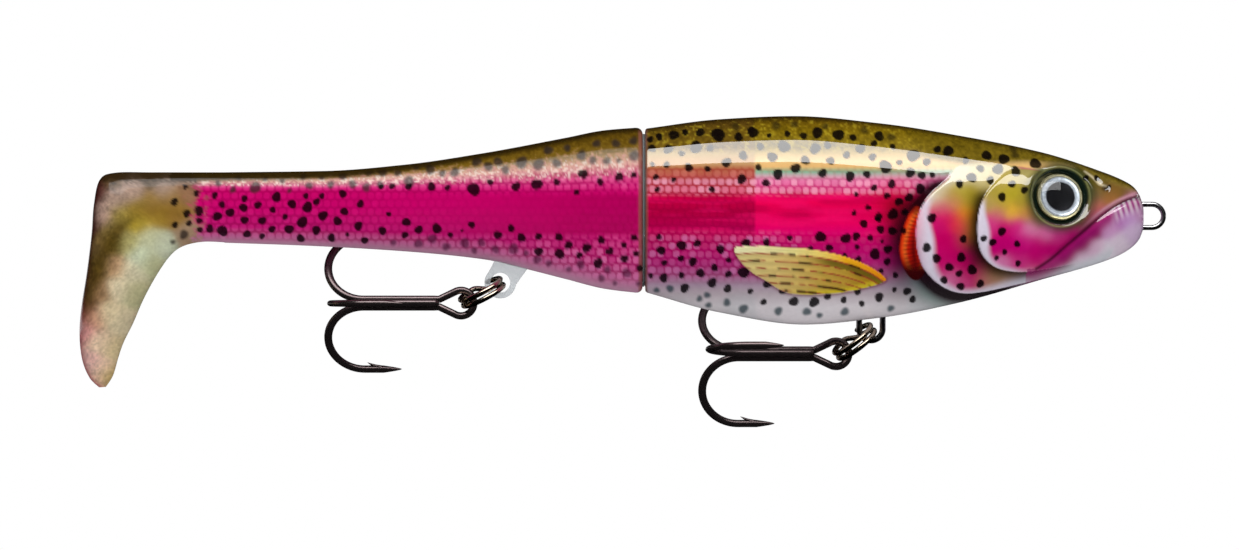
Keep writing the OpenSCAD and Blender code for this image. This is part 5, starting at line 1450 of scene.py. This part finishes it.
def tent():
    """A dark cloth all round the lure that only glossy rays meet: it keeps the room's white out
    of the lacquer, as a black flag does in a studio. It is made of hoops that draw in towards both
    ends and nearly close them."""
    n = 44
    a = np.radians(np.linspace(-178, 178, n))
    hoops = ((-1.9, 0.1), (-1.5, 1.0), (-0.9, 1.3), (0.8, 1.3), (1.3, 1.0), (1.7, 0.1))
    points = np.concatenate([np.stack([np.full(n, x), -r * np.cos(a), r * np.sin(a)], -1) for x, r in hoops])
    i = np.arange(n - 1)[None] + n * np.arange(len(hoops) - 1)[:, None]
    mesh = bpy.data.meshes.new("flag")
    faces = np.stack([i, i + 1, i + n + 1, i + n], -1).reshape(-1, 4)
    mesh.from_pydata(points.tolist(), [], faces.tolist())
    matt = {"Roughness": 1.0, "Specular IOR Level": 0.0}
    mesh.materials.append(finish("black_cloth", matt, lin(6, 6, 7), (0.01, 20.0)))
    obj = bpy.data.objects.new("flag", mesh)
    bpy.context.scene.collection.objects.link(obj)
    for ray in ("camera", "diffuse", "shadow", "transmission", "volume_scatter"):
        setattr(obj, "visible_" + ray, False)


def stage(scene):
    """A white room, the camera, a long soft box above, a weak fill from the camera's side, the
    black flag and the table."""
    scene.view_settings.view_transform = "Standard"
    world = bpy.data.worlds.new("studio")
    scene.world = world
    world.use_nodes = True
    tree = world.node_tree
    tree.nodes.clear()
    sheet = new_node(tree, "Background", {"Color": (1, 1, 1, 1), "Strength": 1.0})
    room = new_node(tree, "Background", {"Color": (0.9, 0.93, 1, 1), "Strength": 0.2})
    path = new_node(tree, "LightPath")
    pick = new_node(tree, "MixShader")
    out = new_node(tree, "OutputWorld")
    seen, output = path, "Is Camera Ray"
    for ray in ("Is Glossy Ray", "Is Transmission Ray"):
        either = new_node(tree, "Math", operation="MAXIMUM")
        join(tree, (seen, output, either, 0), (path, ray, either, 1))
        seen, output = either, 0
    join(tree, (seen, output, pick, "Fac"), (room, "Background", pick, 1), (sheet, "Background", pick, 2),
         (pick, "Shader", out, "Surface"))
    lens = bpy.data.cameras.new("camera")
    lens.lens = LENS
    lens.sensor_width = 36
    lens.clip_start, lens.clip_end = 0.01, 20
    cam = bpy.data.objects.new("camera", lens)
    cam.location = CAMERA
    cam.rotation_euler = (np.pi / 2, 0, 0)
    scene.collection.objects.link(cam)
    scene.camera = cam
    area("box_above", (-0.09, -0.277, 0.4165), (-0.09, 0, 0.0), (0.55, 0.275), 2.4)
    area("fill_front", (0.1, -0.9, 0.0), (-0.1, 0, 0), (0.5, 0.5), 1.8).visible_glossy = False
    tent()
    floor()


# ---- Operators and panel ----

class SWIMBAIT_OT_head(bpy.types.Operator):
    """Mould and paint the head's two shells"""
    bl_idname = "swimbait.head"
    bl_label = "Head shells"

    def execute(self, context):
        build_head(context.scene.swimbait_sizes, context.scene.swimbait_paint)
        return {"FINISHED"}


class SWIMBAIT_OT_tail(bpy.types.Operator):
    """Shape and paint the soft tail with its boot"""
    bl_idname = "swimbait.tail"
    bl_label = "Soft tail"

    def execute(self, context):
        build_tail(context.scene.swimbait_sizes, context.scene.swimbait_paint)
        return {"FINISHED"}


class SWIMBAIT_OT_eyes(bpy.types.Operator):
    """Make the foil eyes and their clear domes"""
    bl_idname = "swimbait.eyes"
    bl_label = "Eyes"

    def execute(self, context):
        build_eyes(context.scene.swimbait_sizes, context.scene.swimbait_fittings)
        return {"FINISHED"}


class SWIMBAIT_OT_rings(bpy.types.Operator):
    """Wind the two split rings"""
    bl_idname = "swimbait.rings"
    bl_label = "Split rings"

    def execute(self, context):
        metal = nickel(context.scene.swimbait_fittings.ring)
        for end in ("front", "rear"):
            build_ring(end, metal)
        return {"FINISHED"}


class SWIMBAIT_OT_hooks(bpy.types.Operator):
    """Bend the two treble hooks"""
    bl_idname = "swimbait.hooks"
    bl_label = "Treble hooks"

    def execute(self, context):
        metal = gunmetal(context.scene.swimbait_fittings.hook)
        for end in ("front", "rear"):
            build_hook(end, metal)
        return {"FINISHED"}


class SWIMBAIT_OT_fittings(bpy.types.Operator):
    """Finish the wire, hinge, weights and clear parts"""
    bl_idname = "swimbait.fittings"
    bl_label = "Wire, hinge and weights"

    def execute(self, context):
        colours = context.scene.swimbait_fittings
        dress(bright_wire(colours.wire), "line_tie", "belly_hanger", "hinge_pin", "plate_pins", "corkscrew")
        dress(clear_moulding(colours.clear), "joint_block", "hook_plate")
        dress(stamped(colours.plate), "hinge_plates")
        dress(cast_lead(colours.lead), "belly_weight", "throat_weight")
        return {"FINISHED"}


class SWIMBAIT_OT_stage(bpy.types.Operator):
    """Set up the table, the lights, the background and the camera"""
    bl_idname = "swimbait.stage"
    bl_label = "Stage"

    def execute(self, context):
        stage(context.scene)
        return {"FINISHED"}


STEPS = (SWIMBAIT_OT_head, SWIMBAIT_OT_tail, SWIMBAIT_OT_eyes, SWIMBAIT_OT_rings, SWIMBAIT_OT_hooks,
         SWIMBAIT_OT_fittings, SWIMBAIT_OT_stage)
GROUPS = {"swimbait_sizes": SwimbaitSizes, "swimbait_paint": SwimbaitPaint,
          "swimbait_fittings": SwimbaitFittings}


class SWIMBAIT_PT_panel(bpy.types.Panel):
    """Settings and steps of the swimbait"""
    bl_idname = "SWIMBAIT_PT_panel"
    bl_label = "Swimbait"
    bl_space_type = "VIEW_3D"
    bl_region_type = "UI"
    bl_category = "Swimbait"

    def draw(self, context):
        layout = self.layout
        for name in GROUPS:
            settings = getattr(context.scene, name)
            box = layout.box()
            for field in settings.bl_rna.properties.keys():
                if field not in ("rna_type", "name"):
                    box.prop(settings, field)
        for step in STEPS:
            layout.operator(step.bl_idname)


def register():
    for item in (*GROUPS.values(), *STEPS, SWIMBAIT_PT_panel):
        bpy.utils.register_class(item)
    for name, group in GROUPS.items():
        setattr(bpy.types.Scene, name, bpy.props.PointerProperty(type=group))


def unregister():
    for name in GROUPS:
        delattr(bpy.types.Scene, name)
    for item in (SWIMBAIT_PT_panel, *reversed(STEPS), *reversed(list(GROUPS.values()))):
        bpy.utils.unregister_class(item)


def main():
    """Build every piece and the stage in order."""
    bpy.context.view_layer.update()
    register()
    bpy.ops.swimbait.head()
    bpy.ops.swimbait.tail()
    bpy.ops.swimbait.eyes()
    bpy.ops.swimbait.rings()
    bpy.ops.swimbait.hooks()
    bpy.ops.swimbait.fittings()
    bpy.ops.swimbait.stage()


if __name__ == "__main__":
    main()
